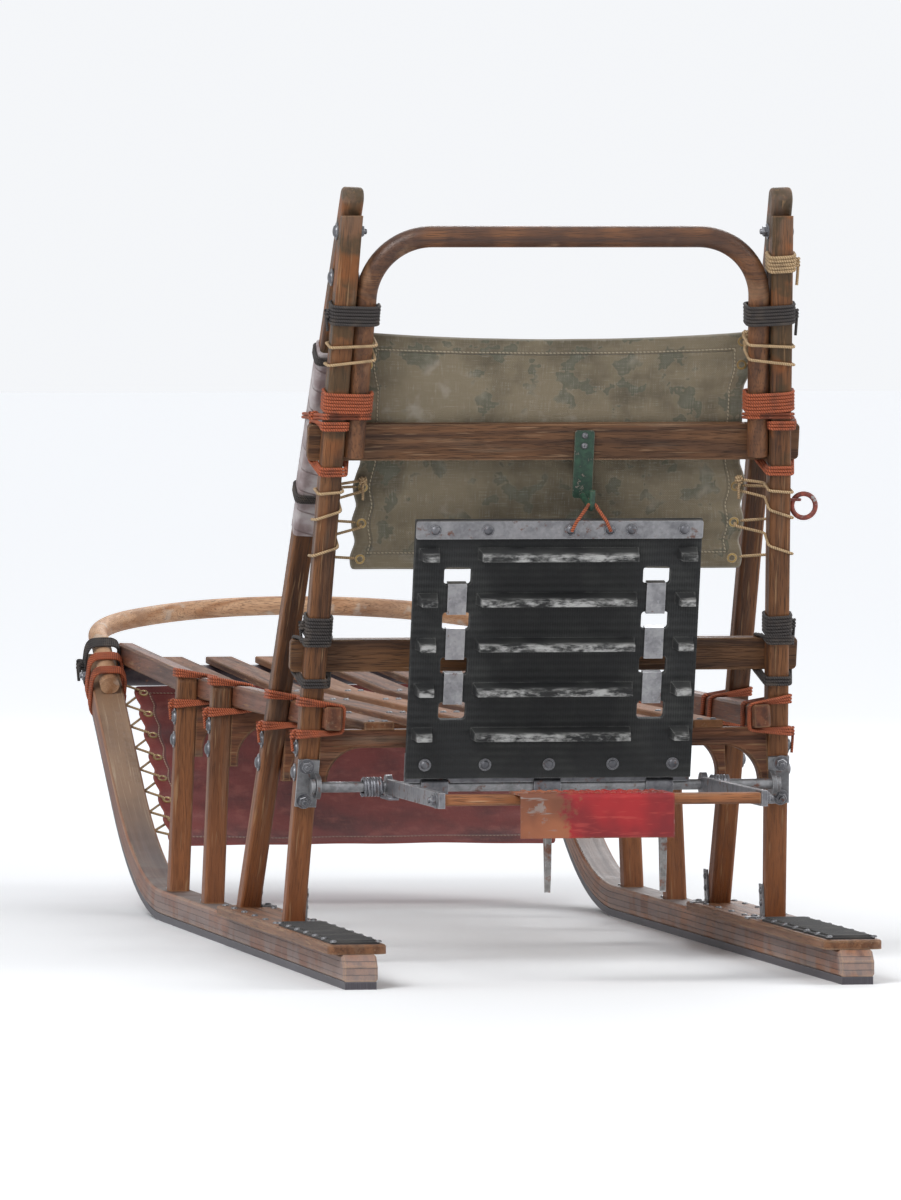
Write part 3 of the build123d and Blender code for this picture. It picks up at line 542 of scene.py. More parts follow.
hex_nut = template(
    "hex_nut",
    washer(0.0105),
    turned([(0.0068, 0.0014), (0.0075, 0.002), (0.0075, 0.0062), (0.0067, 0.007), (0.0042, 0.007)], 6),
    turned([(0.0038, 0.0), (0.0038, 0.0098), (0.0030, 0.0108)], 12),
)
dome_head = template(
    "dome_head",
    washer(0.0115),
    turned([(0.0085, 0.0012), (0.0080, 0.0030), (0.0064, 0.0047), (0.0036, 0.0056), (0.0012, 0.0058)], 16),
)
bolt_steel = steel("bolt_zinc", (118, 118, 122), (76, 77, 82), 0.06, 2.0)
stanchions = (1245, 1565)
pole_width = 28.1
for side, sign in sides:
    outward, inward = Vector((sign, 0, lean)), Vector((-sign, 0, -lean))
    heads = [
        (by_pole(sign, pole_width, height, station), outward)
        for height in (288, 256)
        for station in (upright_at(height), strut_at(height), *stanchions)
    ]
    top_bolts = ((330, 965), (356, 905))
    heads += [(by_pole(sign, pole_width, height, station), outward) for station, height in top_bolts]
    nuts = [(by_pole(sign, 0, height, station), inward) for station, height in top_bolts]
    fixings(f"frame_bolts_{side}", (dome_head, bolt_steel, heads), (hex_nut, bolt_steel, nuts))


# Foot angles: bent steel straps at the poles' feet, screwed down to the footboard or the runner and
# against the pole's inner face or its front.
def angle_strap(foot):
    """A strap with a foot as long as given along -X and a leg up Z, bent round between them."""
    leg, width, thick, bend = 0.044, 0.022, 0.0025, 0.004
    shares = (0.0, 0.25, 0.5, 0.75, 1.0)
    bent = [Vector((-bend * (1 - share) ** 2, 0, bend * share**2)) for share in shares]
    path = [Vector((-foot, 0, 0)), *bent, Vector((0, 0, leg))]
    form = bmesh.new()
    rows = []
    half = Vector((0, width / 2, 0))
    for number, here in enumerate(path):
        ahead = path[min(number + 1, len(path) - 1)] - path[max(number - 1, 0)]
        off = Vector((-ahead.z, 0, ahead.x)).normalized() * thick / 2
        corners = (here - off - half, here + off - half, here + off + half, here - off + half)
        rows.append([form.verts.new(corner) for corner in corners])
    skinned(form, rows)
    bmesh.ops.recalc_face_normals(form, faces=form.faces)
    sharp = [edge for edge in form.edges if edge.calc_face_angle(0) > 1.2]
    bmesh.ops.bevel(form, geom=sharp, offset=0.0006, segments=2)
    return settled(form)


angle_steel = steel("angle_zinc", (138, 138, 140), (98, 98, 100), 0.07, 4.0)
for side, sign in sides:
    angles = []
    angle_screws = []
    for station in (upright_foot, strut_foot):
        strap = angle_strap(0.022)
        strap.transform(Matrix.Rotation(-lean, 4, "Y"))
        if sign < 0:
            strap.transform(Matrix.Scale(-1, 4, (1, 0, 0)))
            strap.flip_normals()
        strap.transform(Matrix.Translation(at(sign * (inner_at(57) - 1.5), station, 57.4)))
        angles.append(strap)
        angle_screws.append((at(sign * (inner_at(56) - 13), station, 58.7), (0, 0, 1)))
        for height in (76, 92):
            angle_screws.append((by_pole(sign, -2.8, height, station), (-sign, 0, 0)))
    for station in stanchions:
        strap = angle_strap(0.026)
        strap.transform(Matrix.Rotation(sign * -lean, 4, "Y") @ Matrix.Rotation(-pi / 2, 4, "Z"))
        strap.transform(Matrix.Translation(at(sign * runner_middle, station + 19.6, 45.4)))
        angles.append(strap)
        angle_screws.append((at(sign * runner_middle, station + 36, 46.7), (0, 0, 1)))
        for height in (64, 80):
            across = sign * (runner_middle - (height - 44) * lean)
            angle_screws.append((at(across, station + 20.9, height), (0, 1, 0)))
    keep(f"foot_angles_{side}", angles, angle_steel, smooth=False)
    fixings(f"foot_angle_screws_{side}", (screw, screw_steel, angle_screws))

# Splint: a repair on the left strut, grey tape wound over thin battens, with a last length of tape on
# the bare strut below them.
strut_top = at(-top_across, top_station, top_height)
strut_axis = (strut_top - at(-runner_middle, strut_foot, foot_height)).normalized()
tape = Finish("splint_tape", (128, 112, 112))
up, around = tape.reach(strut_axis), tape.across() * 3.0
turns = (up + around * 0.1) / 0.032
wind = turns - tape.maths("FLOOR", turns)
lap = tape.smooth(wind, 0.0, 0.06) * (1.0 - tape.smooth(wind, 0.94, 1.0))
dirt = tape.speckle(30.0, 4.0, 3.0)
fibres = tape.noise((up * 8.0, around * 300.0, tape.fore() * 900.0), 2.0)
tape.over((172, 164, 164), tape.smooth(dirt, 0.35, 0.6))
tape.over((104, 86, 84), (1.0 - lap) * 0.75)
tape.over((108, 82, 72), tape.smooth(tape.speckle(14.0, 3.0, 9.0), 0.55, 0.72) * 0.7)
tape.done(0.42 + dirt * 0.25, lap * 1.2 + fibres * 0.15, 0.0008)
dress(tape, "strut_splint")
tail_ends, tape_thick = ((572, -1), (622, 1)), 0.0011
tail = bmesh.new()
tail.from_mesh(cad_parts["strut_left"].data)
bmesh.ops.remove_doubles(tail, verts=tail.verts, dist=0.00001)
for height, sense in tail_ends:
    cut_at = at(-top_across - (top_height - height) * lean, strut_at(height), height)
    whole = [*tail.verts, *tail.edges, *tail.faces]
    bmesh.ops.bisect_plane(tail, geom=whole, plane_co=cut_at, plane_no=strut_axis * sense, clear_outer=True)
bmesh.ops.holes_fill(tail, edges=[edge for edge in tail.edges if edge.is_boundary])
bmesh.ops.recalc_face_normals(tail, faces=tail.faces)
for vertex in tail.verts:
    out = vertex.normal - strut_axis * vertex.normal.dot(strut_axis)
    vertex.co += out.normalized() * tape_thick
keep("splint_tape_tail", [settled(tail)], tape)


# Lashings: cord wound round the joints, each turn hauled tight. Orange-brown cord ties the handle
# and the rails, and black cord the lower slat and the splint.
def twisted(name, pale, deep, dirt):
    """Laid cord: strands twisted round each other, with painted light on the strands' crowns and painted
    shade in the grooves.
    """
    yarn = Finish(name, deep)
    ring = yarn.node("ShaderNodeAttribute", {"attribute_name": "ring"}, {}, "Vector")
    run = yarn.node("ShaderNodeAttribute", {"attribute_name": "run"}, {}, "Fac")
    pitch = 0.006
    phase = run * (2 * pi / pitch)
    lay = yarn.dot(ring, (1, 0, 0)) * yarn.cosine(phase) + yarn.dot(ring, (0, 1, 0)) * yarn.sine(phase)
    crown_and_painted_light = lay * lay
    soil = yarn.speckle(55.0, 3.0)
    # Painted light and shade: the strands' crowns are pale and the grooves between them dark.
    yarn.over(pale, yarn.smooth(crown_and_painted_light, 0.1, 0.8))
    yarn.over(dirt, yarn.smooth(soil, 0.48, 0.7) * 0.6)
    yarn.done(0.66 + soil * 0.2, crown_and_painted_light, 0.0007)
    return yarn


orange_cord = twisted("orange_cord", (186, 98, 58), (112, 50, 30), (92, 54, 40))
black_cord = twisted("black_cord", (66, 60, 58), (28, 25, 25), (84, 74, 66))
pale_cord = twisted("pale_cord", (196, 170, 132), (142, 112, 78), (120, 98, 74))
lash_radius = 0.0021


def rope_skin(recipe, curve, radius):
    """A round skin on a curve, with where it is round and along the cord kept for its finish."""

    def noted(geometry, word, kind, value):
        settings = {"data_type": kind, "domain": "POINT"}
        values = {"Geometry": geometry, "Name": word, "Value": value}
        return recipe.node("GeometryNodeStoreNamedAttribute", settings, values)

    line = noted(curve, "run", "FLOAT", recipe.node("GeometryNodeSplineParameter", {}, {}, "Length"))
    eight_sided = {"Resolution": 8, "Radius": 1.0}
    hoop = recipe.node("GeometryNodeCurvePrimitiveCircle", {"mode": "RADIUS"}, eight_sided)
    hoop = noted(hoop, "ring", "FLOAT_VECTOR", recipe.node("GeometryNodeInputPosition"))
    to_size = {"Geometry": hoop, "Scale": recipe.join(radius, radius, 1.0)}
    sized = recipe.node("GeometryNodeTransform", {}, to_size)
    skin = {"Curve": line, "Profile Curve": sized, "Fill Caps": True}
    return recipe.node("GeometryNodeCurveToMesh", {}, skin)


usual_wrap = {"Half_width": 0.02, "Half_depth": 0.02, "Pitch": 0.0045, "Turns": 5.0}
wrap = Recipe("wrap", **usual_wrap, Cord=0.0022, Square=0.45, Seed=1)
per_turn = 28
row = wrap.node("GeometryNodeMeshLine", {"mode": "OFFSET"}, {"Count": wrap.given("Turns") * per_turn + 1.0})
index = wrap.node("GeometryNodeInputIndex")
angle = index * (2 * pi / per_turn)
give = {2: 1.0, 3: 1.012, "Seed": wrap.given("Seed")}
slack = wrap.node("FunctionNodeRandomValue", {"data_type": "FLOAT"}, give, 1)


def flattened(value, half):
    """A sine or cosine pushed out towards the corners of the bundle."""
    push = wrap.maths("ABSOLUTE", value) ** wrap.given("Square")
    return push * wrap.maths("SIGN", value) * wrap.given(half) * slack


climb = (index / per_turn - wrap.given("Turns") * 0.5) * wrap.given("Pitch")
wide, deep = flattened(wrap.cosine(angle), "Half_width"), flattened(wrap.sine(angle), "Half_depth")
turn_place = wrap.join(wide, deep, climb)
coil = wrap.node("GeometryNodeSetPosition", {}, {"Geometry": row, "Position": turn_place})
wrap.end(rope_skin(wrap, wrap.node("GeometryNodeMeshToCurve", {}, {"Mesh": coil}), wrap.given("Cord")))


def wound(centre, axis, across, half_width, half_depth, turns, cord, finish, square, seed=1):
    """Turns of cord round a bundle whose length lies along axis and whose width lies along across."""
    mesh = wrap.run(
        bpy.data.meshes.new("start"),
        finish,
        Half_width=half_width + cord,
        Half_depth=half_depth + cord,
        Pitch=cord * 2.05,
        Turns=float(turns),
        Cord=cord,
        Square=square,
        Seed=seed,
    )
    up = Vector(axis).normalized()
    flat = (Vector(across) - up * up.dot(Vector(across))).normalized()
    turn = Matrix((flat, up.cross(flat), up)).transposed().to_4x4()
    mesh.transform(Matrix.Translation(centre) @ turn)
    return mesh


follow = Recipe("cord_along_a_path", Cord=0.0022, Bend=0.006)
path = follow.node("GeometryNodeMeshToCurve", {}, {"Mesh": follow.given("Geometry")})
corners = {"Curve": path, "Count": 4, "Radius": follow.given("Bend"), "Limit Radius": True}
eased = follow.node("GeometryNodeFilletCurve", {"mode": "POLY"}, corners)
follow.end(rope_skin(follow, eased, follow.given("Cord")))


def strung(points, cord, finish, bend=0.006, closed=False):
    """Cord along a path, its corners rounded."""
    line = bpy.data.meshes.new("path")
    edges = [(n, n + 1) for n in range(len(points) - 1)]
    if closed:
        edges.append((len(points) - 1, 0))
    line.from_pydata([tuple(point) for point in points], edges, [])
    return follow.run(line, finish, Cord=cord, Bend=bend)


def knot(place, out, along, finish, cord=lash_radius):
    """A hitch drawn tight, with its two cut ends hanging."""
    out, along = Vector(out).normalized(), Vector(along).normalized()
    across = out.cross(along).normalized()
    meshes = [
        wound(place, along, out, cord * 1.1, cord * 1.3, 2, cord, finish, 0.9, seed=2),
        wound(place + out * cord, across, out, cord * 0.8, cord * 1.2, 2, cord, finish, 0.9, seed=3),
    ]
    for sense, drop in ((-1, 9), (1, 6)):
        steps = ((1.0, 0.0, 0.0), (2.4, 3.0, 0.0), (2.0, 4.2, drop * 0.5), (1.6, 4.8, drop))
        end = [
            place + (out * off + across * (sense * aside) - Vector((0, 0, down))) * cord
            for off, aside, down in steps
        ]
        meshes.append(strung(end, cord * 0.92, finish, cord * 2.5))
    return meshes


def crossed(centre, out, fore, up, post, rail, finish, rake=0.0):
    """A square lashing: over a post's outer face above and below a rail, and down behind the rail."""
    out, fore, up = (Vector(way).normalized() for way in (out, fore, up))
    meshes = []
    for turn in range(3):
        spread = lash_radius * (1.0 + 2.05 * turn)
        face, back = post[0] + lash_radius, -(rail[0] + lash_radius)
        near, wide = post[1] + lash_radius, post[1] + spread
        low, high = rail[1] + lash_radius, rail[1] + spread
        corners = [(face, near, high), (face, -near, high), (back, -wide, low), (back, -wide, -low)]
        corners += [(face, -near, -high), (face, near, -high), (back, wide, -low), (back, wide, low)]
        line = [
            centre + out * off + fore * (ahead - rake * above) + up * above
            for off, ahead, above in corners
        ]
        meshes.append(strung(line, lash_radius, finish, 0.005, closed=True))
    return meshes


rail_height = 327
posts = [(upright_at(rail_height), 0.0168, 0.254), (strut_at(rail_height), 0.0178, strut_rake)]
posts += [(station, 0.0152, 0) for station in stanchions]
for side, sign in sides:
    rail_ties = []
    out = Vector((sign, 0, lean))
    for station, half_post, rake in posts:
        centre = by_pole(sign, 0, rail_height, station)
        post, rail = (0.0283, half_post), (0.0243, 0.0152)
        rail_ties += crossed(centre, out, (0, 1, 0), (-sign * lean, 0, 1), post, rail, orange_cord, rake)
        hitch = centre + out * 0.0322 + Vector((0, rake * 0.022, -0.022))
        rail_ties += knot(hitch, out, (0, 1, 0), orange_cord)
    keep(f"rail_lashings_{side}", rail_ties)

splint_ties = []
for height in (622, 804):
    middle = by_pole(-1, 14, height, strut_at(height))
    splint_ties.append(wound(middle, strut_axis, (1, 0, 0), 0.0176, 0.0181, 4, 0.0016, black_cord, 0.4))
keep("splint_ties", splint_ties)

# Cross beams: four bars of ash between the posts, sawn to an arch underneath.
# The wood is the poles', with its grain across the sled.
for number, name in enumerate(("rear_beam", "strut_beam", "middle_beam", "front_beam")):
    beam = ash(f"{name}_ash", (1, 0, 0), (118, 73, 46), (72, 42, 28), pole_rubbed, 40 + number * 3, wear=0.7)
    dress(beam, name)

# Bed: seven ash slats and two deeper side rails, laid on the beams and the nose bar. The slats are
# screwed down at each beam and the rails lashed to the posts.
slat_pitch, slat_top = 73.155, 322.1
tones = (120, 76, 48), (70, 41, 27), (166, 134, 104)
slats = ash("bed_slat_ash", (0, 1, 0.012), *tones, 51, wear=0.8, polish=0.0, board=slat_pitch / 1000)
dress(slats, "bed_slats")
for side, sign in sides:
    tones = (110, 64, 41), (66, 36, 24), pole_rubbed
    rail = ash(f"rail_ash_{side}", (0, 1, 0.01), *tones, 60 + sign, wear=0.7)
    dress(rail, f"side_rail_{side}")
bed_screws = [
    (at((number - 3) * slat_pitch + shift, station, slat_top), (0, 0, 1))
    for station in (486, 778, *stanchions)
    for number in range(7)
    for shift in (-9, 9)
]
fixings("bed_screws", (screw, screw_steel, bed_screws))


# Nose bar: a round steel bar between the runners' noses, painted dark, with a bolt through each nose.
# The paint is chipped down to a rusty primer.
def paint(name, fresh, aged, under, flakes, chipped, mottled, rough, metal=0.0, rubbed=0.0):
    """Paint that has aged in two tones and comes off in flakes, and at its edges where it is rubbed."""
    coat = Finish(name, fresh)
    flake = coat.speckle(*flakes)
    bare = coat.smooth(flake, *chipped)
    if rubbed:
        bare = coat.most(bare, coat.edges(0.0015) * rubbed)
    coat.over(aged, coat.smooth(flake, *mottled))
    coat.over(under, bare)
    roughness = rough[0] + flake * rough[1] + bare * rough[2]
    coat.done(roughness, 0.0 - bare, 0.0003, bare * metal if metal else None)
    return coat


flakes, chipped, mottled = (70.0, 4.0, 2.0, 0.7), (0.62, 0.68), (0.35, 0.6)
tones = (52, 44, 52), (70, 58, 62), (120, 84, 66)
bar_paint = paint("nose_bar_paint", *tones, flakes, chipped, mottled, (0.38, 0.25, 0.2))
dress(bar_paint, "nose_bar")
bar_half, bar_station, bar_height = 345.1, 2314.3, 318.7
nose_nuts = [(at(sign * bar_half, bar_station, bar_height), (sign, 0, 0)) for side, sign in sides]
fixings("nose_bar_nuts", (hex_nut, bolt_steel, nose_nuts))

# Tow eye: a flame-cut plate welded to the nose bar, its bore worn bright by the shackle.
# The weld is one bead round the plate's root, painted with the bar.
dress(steel("tow_eye_steel", (150, 148, 148), (104, 102, 104), 0.08, 6.0), "tow_eye")
bead_corners = ((-13, 5.6), (13, 5.6), (13, -5.6), (-13, -5.6))
bead_station = bar_station + 15.4 * cos(0.35) + 0.8
bead = [at(across, bead_station, bar_height + up) for across, up in bead_corners]
keep("tow_eye_weld", [strung(bead, 0.0018, bar_paint, 0.001, closed=True)])


# Nose apron: dark red canvas laced between the runners' noses, over the last of the bend, to keep
# snow out from under the bed. It is hemmed all round, with brass eyelets and a pale lacing.
def canvas(name, half_size, plain, deep, faded, weave_pitch, seed, spots=None):
    """Woven cloth read from the sheet's own metres, with weave, stitched hems, fade and stains; painted
    shade in weave and seams.
    """
    cloth = Finish(name, plain, Sheen_Weight=0.15)
    flat = cloth.node("ShaderNodeAttribute", {"attribute_name": "flat"}, {}, "Vector")
    x, y = cloth.dot(flat, (1, 0, 0)), cloth.dot(flat, (0, 1, 0))
    warp = cloth.sine(x * (2 * pi / weave_pitch)) * 0.5 + 0.5
    weft = cloth.sine(y * (2 * pi / weave_pitch)) * 0.5 + 0.5
    weave = warp * weft + (1.0 - warp) * (1.0 - weft)
    slub = cloth.noise((x * 900.0, y * 40.0, seed), 2.0)
    slub = slub + cloth.noise((x * 40.0, y * 900.0, seed), 2.0)
    stain = cloth.noise((x * 9.0, y * 9.0, seed), 4.0, 0.6)
    blot = cloth.noise((x * 26.0, y * 26.0, seed + 4.0), 3.0, 0.6)
    cloth.over(deep, cloth.smooth(stain, 0.42, 0.7))
    cloth.over(faded, cloth.smooth(blot, 0.5, 0.68) * 0.55)
    if spots:
        cloth.over(spots, (blot > 0.56) * cloth.smooth(stain, 0.38, 0.5) * 0.7)
    # Painted shade: the over-and-under squares of the weave are darkened.
    cloth.over(deep, (1.0 - weave) * 0.35, 0.5)
    cloth.over(faded, cloth.smooth(slub, 1.05, 1.3) * 0.35)
    from_side, from_end = (half - cloth.maths("ABSOLUTE", way) for half, way in zip(half_size, (x, y)))
    from_edge = cloth.least(from_side, from_end)
    doubled = 1.0 - cloth.smooth(from_edge, 0.0245, 0.0262)
    beside = cloth.maths("ABSOLUTE", from_edge - 0.0225)
    thread = (1.0 - cloth.smooth(beside, 0.0005, 0.0010)) * (cloth.sine((x + y) * (2 * pi / 0.0052)) > -0.35)
    # Painted shade: a dark band on either side of the stitching line.
    cloth.over(plain, (1.0 - cloth.smooth(beside, 0.0008, 0.004)) * 0.5, 0.55)
    cloth.over(faded, cloth.smooth(from_edge, 0.004, 0.0) * 0.6)
    cloth.over((190, 176, 150), thread * 0.8)
    relief = weave * 0.35 + slub * 0.15 + doubled * 2.0 + thread * 0.8
    cloth.done(0.86 + stain * 0.1, relief, 0.001)
    return cloth


def sheet_piece(name, shape, width, length, wide, long, thick, finish, slot_name):
    """A sheet from shape(x, y), its flat cut in metres, with its own thickness."""
    form = bmesh.new()
    flat = form.verts.layers.float_vector.new("flat")
    grid = []
    for j in range(long + 1):
        line = []
        for i in range(wide + 1):
            x, y = width * (i / wide - 0.5), length * (j / long - 0.5)
            vertex = form.verts.new(shape(x, y))
            vertex[flat] = (x, y, 0)
            line.append(vertex)
        grid.append(line)
    for low, high in zip(grid, grid[1:]):
        for n in range(wide):
            form.faces.new((low[n], low[n + 1], high[n + 1], high[n]))
    mesh = settled(form, name)
    mesh.materials.append(finish.material)
    for face in mesh.polygons:
        face.use_smooth = True
    piece = placed(name, mesh)
    wall = piece.modifiers.new("wall", "SOLIDIFY")
    wall.thickness = thick
    wall.offset = 0.0
    wall.use_even_offset = True
    soft = piece.modifiers.new("soft", "SUBSURF")
    soft.levels = soft.render_levels = 1
    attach(piece, "sled")
    return piece


eyelet_profile = [(0.0038, -0.0020), (0.0068, -0.0020), (0.0074, -0.0008), (0.0074, 0.0010)]
eyelet_profile += [(0.0066, 0.0021), (0.0048, 0.0023), (0.0038, 0.0012)]
eyelet = template("eyelet", turned(eyelet_profile, 18, hollow=True))
brass = steel("eyelet_brass", (176, 148, 92), (122, 98, 58), 0.05, 8.0, (84, 78, 52))
apron_half, apron_length = 0.282, 0.428
tones = (122, 44, 40), (78, 25, 27), (150, 80, 70)
apron_cloth = canvas("apron_canvas", (apron_half, apron_length / 2), *tones, 0.0022, seed=2.0)
apron_radius, apron_start = 0.863, radians(22)
hole_gap, hole_inset = 0.055, 0.014
apron_holes = [0.02 + hole_gap * number for number in range(8)]


def on_nose(run, raised=0.0):
    """A point of the apron's middle line, run metres up from its lower edge, and its normal."""
    arc = (nose_turn - apron_start) * apron_radius
    turn = min(apron_start + run / apron_radius, nose_turn)
    past = max(run - arc, 0.0)
    out, ahead = Vector((0, sin(turn), -cos(turn))), Vector((0, cos(turn), sin(turn)))
    return bend_middle + out * apron_radius + ahead * past - out * raised, -out


def apron_shape(x, y):
    """The apron between its lacings: scalloped at the eyelets, sagging and puckered a little."""
    run = y + apron_length / 2
    apart = min(abs(run - hole) for hole in apron_holes) / (hole_gap / 2)
    rim = abs(x) / apron_half
    pull = 0.007 * min(apart, 1.0) ** 1.5 * max(rim - 0.75, 0.0) / 0.25
    sag = -0.011 * (1 - rim**2) * sin(pi * min(max(run / apron_length, 0), 1))
    pucker = 0.0016 * cos(pi * apart) * max(rim - 0.55, 0) / 0.45
    crease = 0.0022 * ripple(Vector((x * 9, run * 14, 1.3)))
    return on_nose(run, sag * 0.35 + pucker + crease)[0] + Vector((x - (pull if x > 0 else -pull), 0, 0))


apron_size = 2 * apron_half, apron_length, 72, 60, 0.0022
apron = sheet_piece("nose_apron_canvas", apron_shape, *apron_size, apron_cloth, "apron_canvas")
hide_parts("nose_apron")
apron_rings, apron_lacing = [], []
for side, sign in sides:
    line = []
    for hole in apron_holes:
        normal = on_nose(hole)[1]
        eye = sign * (apron_half - hole_inset)
        apron_rings.append((apron_shape(eye, hole - apron_length / 2) + normal * 0.0003, normal))
        steps = [(hole, 0.0045, eye), (hole + 0.027, 0.0, sign * 0.2975)]
        steps.append((hole + hole_gap, -0.005, sign * (apron_half - 0.004)))
        line += [on_nose(run, raised)[0] + Vector((across, 0, 0)) for run, raised, across in steps]
    apron_lacing.append(strung(line[:-1], 0.0018, pale_cord, 0.004))
rings_piece = keep("apron_eyelets", [fastened(eyelet, brass, apron_rings)])
lacing_piece = keep("apron_lacing", apron_lacing)

# Brush bow: a hoop of pale ash, bent green, whose legs lie on the runners' noses and are bound to them
# with cord. Its varnish has gone and its outer side is scraped.
bow = Finish("brush_bow_ash", (196, 156, 122))
x, past_legs = bow.across(), bow.fore() - (rear_y + 2.346)
hoop_y = bow.most(past_legs, 0.0)
along = bow.maths("ARCTAN2", x, hoop_y + 0.06) * 0.3 + bow.least(past_legs, 0.0)
spread = bow.maths("SQRT", x * x + hoop_y * hoop_y)
streaks, _, pits = grain(bow, along, spread, bow.height(), (158, 112, 76), 71.0)
bow.over((128, 96, 74), bow.smooth(bow.speckle(14.0, 3.0, 4.0), 0.52, 0.72) * 0.6)
bow.over((188, 182, 172), bow.smooth(bow.speckle(38.0, 3.0, 1.0), 0.6, 0.7) * 0.4)
bow.done(0.56 + streaks * 0.2, streaks * 0.8 - pits, 0.0005)
dress(bow, "brush_bow")
nose_way = Vector((0, cos(nose_turn), sin(nose_turn)))
nose_up = Vector((0, -sin(nose_turn), cos(nose_turn)))
for side, sign in sides:
    bands = []
    tip = at(sign * runner_middle, 2350.4, 321.2) + nose_up * 0.0262
    middles = [tip - nose_way * back for back in (0.016, 0.052, 0.088)]
    for number, middle in enumerate(middles):
        cord, turns = (orange_cord, 4) if number else (black_cord, 5)
        size = 0.0228, 0.0364, turns, lash_radius
        bands.append(wound(middle, nose_way, (1, 0, 0), *size, cord, 0.5, seed=number))
    keep(f"bow_lashings_{side}", bands[1:])
    hitch = knot(middles[0] + Vector((sign * 0.0285, 0, 0)), (sign, 0, 0), nose_way, black_cord, 0.0024)
    keep(f"bow_tip_lashing_{side}", [bands[0]] + hitch)

# Handle bow: an ash hoop bent over a form, dark with oil and handling, whose legs are lashed inside
# the uprights above the upper slat and again under its bends.
handle = Finish("handle_ash", (120, 77, 45))
poles_rake, bend_radius, straight_half = 0.249, 0.084, 0.173
rise = Vector((0, -sin(poles_rake), cos(poles_rake)))
up, x = handle.reach(rise), handle.across()
bend_up = at(0, 337, 874).dot(rise)
over = handle.most(up - bend_up, 0.0)
side_x = handle.maths("ABSOLUTE", x)
swing = handle.maths("ARCTAN2", over, handle.most(side_x - straight_half, 0.0) + 0.004) * bend_radius
bend_length = pi / 2 * bend_radius
along = handle.least(up, bend_up) + swing - handle.least(side_x, straight_half) - (bend_up + bend_length)
along = along * handle.maths("SIGN", x)
ring = side_x * handle.smooth(over, 0.05, 0.0) + over
streaks, _, pits = grain(handle, along, ring, handle.fore(), (70, 42, 25), 83.0)
cloud = handle.speckle(18.0, 3.0, 6.0)
gripped = handle.smooth(over, 0.03, 0.075)
handle.over((60, 36, 24), gripped * handle.smooth(cloud, 0.3, 0.6) * 0.75)
handle.over((166, 128, 96), handle.smooth(cloud, 0.6, 0.72) * 0.4)
handle.done(0.5 - gripped * 0.16 + streaks * 0.2, streaks * 0.7 - pits, 0.0005)
dress(handle, "handle_bow")


def upright_way(sign):
    """The direction of an upright, up its length."""
    return (-sign * lean, -0.2465, 0.969)


tie_height, knot_height = 744, 858
bind_radius = 0.0022
for side, sign in sides:
    bindings = []
    for height, cord in ((tie_height, orange_cord), (knot_height, black_cord)):
        middle = by_pole(sign, -0.4, height)
        size = 0.0289, 0.0166, 6, bind_radius
        bindings.append(wound(middle, upright_way(sign), (1, 0, 0), *size, cord, 0.42, seed=height))
    ties = bindings[:1]
    sleeve = 3.6 if sign < 0 else 0.0
    for height in (721.5, 726):
        rear, front = upright_at(height) - 18.6, strut_at(height) + 19.8 + sleeve
        out, inside = inner_at(height) + 30.4, inner_at(height) - 2.4
        corners = [(out, rear), (out, rear + 38), (out + sleeve, front - 46), (out + sleeve, front)]
        corners += [(inside - sleeve, front), (inside - sleeve, front - 44), (inside - 28.6, rear + 33)]
        corners += [(inside - 28.6, rear + 4), (inside - 14, rear)]
        line = [at(sign * across, station, height) for across, station in corners]
        ties.append(strung(line, lash_radius, orange_cord, 0.006, closed=True))
    ties += knot(by_pole(sign, 31, 724, upright_at(724) + 60), (sign, 0, 0), (0, 1, 0), orange_cord)
    dark_ties = bindings[1:] + knot(by_pole(sign, 31, knot_height), (sign, 0, 0), (0, 1, 0), black_cord)
    keep(f"handle_lashings_{side}", ties)
    keep(f"handle_dark_lashings_{side}", dark_ties)

# Spare cord: pale line wound and hitched round the top of the right upright, ready for use.
# It is the cord that also laces the cloth, a little thicker.
spare_at = by_pole(1, 14, 925)
spare = [wound(spare_at, upright_way(1), (1, 0, 0), 0.0143, 0.0166, 5, 0.0023, pale_cord, 0.42)]
spare += knot(spare_at + Vector((0.0178, 0, 0)), (1, 0, 0), (0, 1, 0), pale_cord, bind_radius)
keep("spare_cord", spare)

# Back slats: two flat ash boards across the front of the uprights, tied to them with cord, the lower
# one in black.
slat_tones = (("upper", (110, 75, 48), (64, 41, 27), 90), ("lower", (112, 76, 47), (65, 41, 26), 97))
for place, light, dark, seed in slat_tones:
    slat = ash(f"{place}_slat_ash", (1, 0, 0), light, dark, (166, 134, 104), seed, wear=0.8)
    dress(slat, f"back_slat_{place}")
back_way = Vector((0, -cos(poles_rake), -sin(poles_rake)))
for side, sign in sides:
    ties = []
    for height, half_slat, cord in ((685.5, 0.0243, orange_cord), (405, 0.0217, black_cord)):
        middle = by_pole(sign, 14, height) - back_way * 0.0163
        ties.append(crossed(middle, back_way, (1, 0, 0), rise, (0.0327, 0.0146), (0.0102, half_slat), cord))
    middle = by_pole(sign, 14, 450)
    above = [wound(middle, upright_way(sign), (1, 0, 0), 0.0143, 0.0164, 6, bind_radius, black_cord, 0.42)]
    above += knot(middle + Vector((sign * 0.0175, 0, 0)), (sign, 0, 0), (0, 1, 0), black_cord)
    keep(f"upper_slat_lashing_{side}", ties[0])
    keep(f"lower_slat_lashing_{side}", ties[1] + above)

# Back cloth: khaki canvas hung in front of the slats and laced round the uprights through eyelets,
# so that its edges are drawn out between them. Mottled by weather.
cloth_half, cloth_length = 0.262, 0.322
tones = (132, 120, 98), (90, 82, 66), (168, 162, 150)
khaki = canvas("back_canvas", (cloth_half, cloth_length / 2), *tones, 0.0024, seed=5.0, spots=(78, 82, 66))
cloth_off = 0.0318
cloth_middle = at(0, upright_at(670), 670) - back_way * cloth_off
hole_groups = ((-0.147, -0.098, -0.049), (0.116, 0.148))
cloth_holes = [hole for group in hole_groups for hole in group]


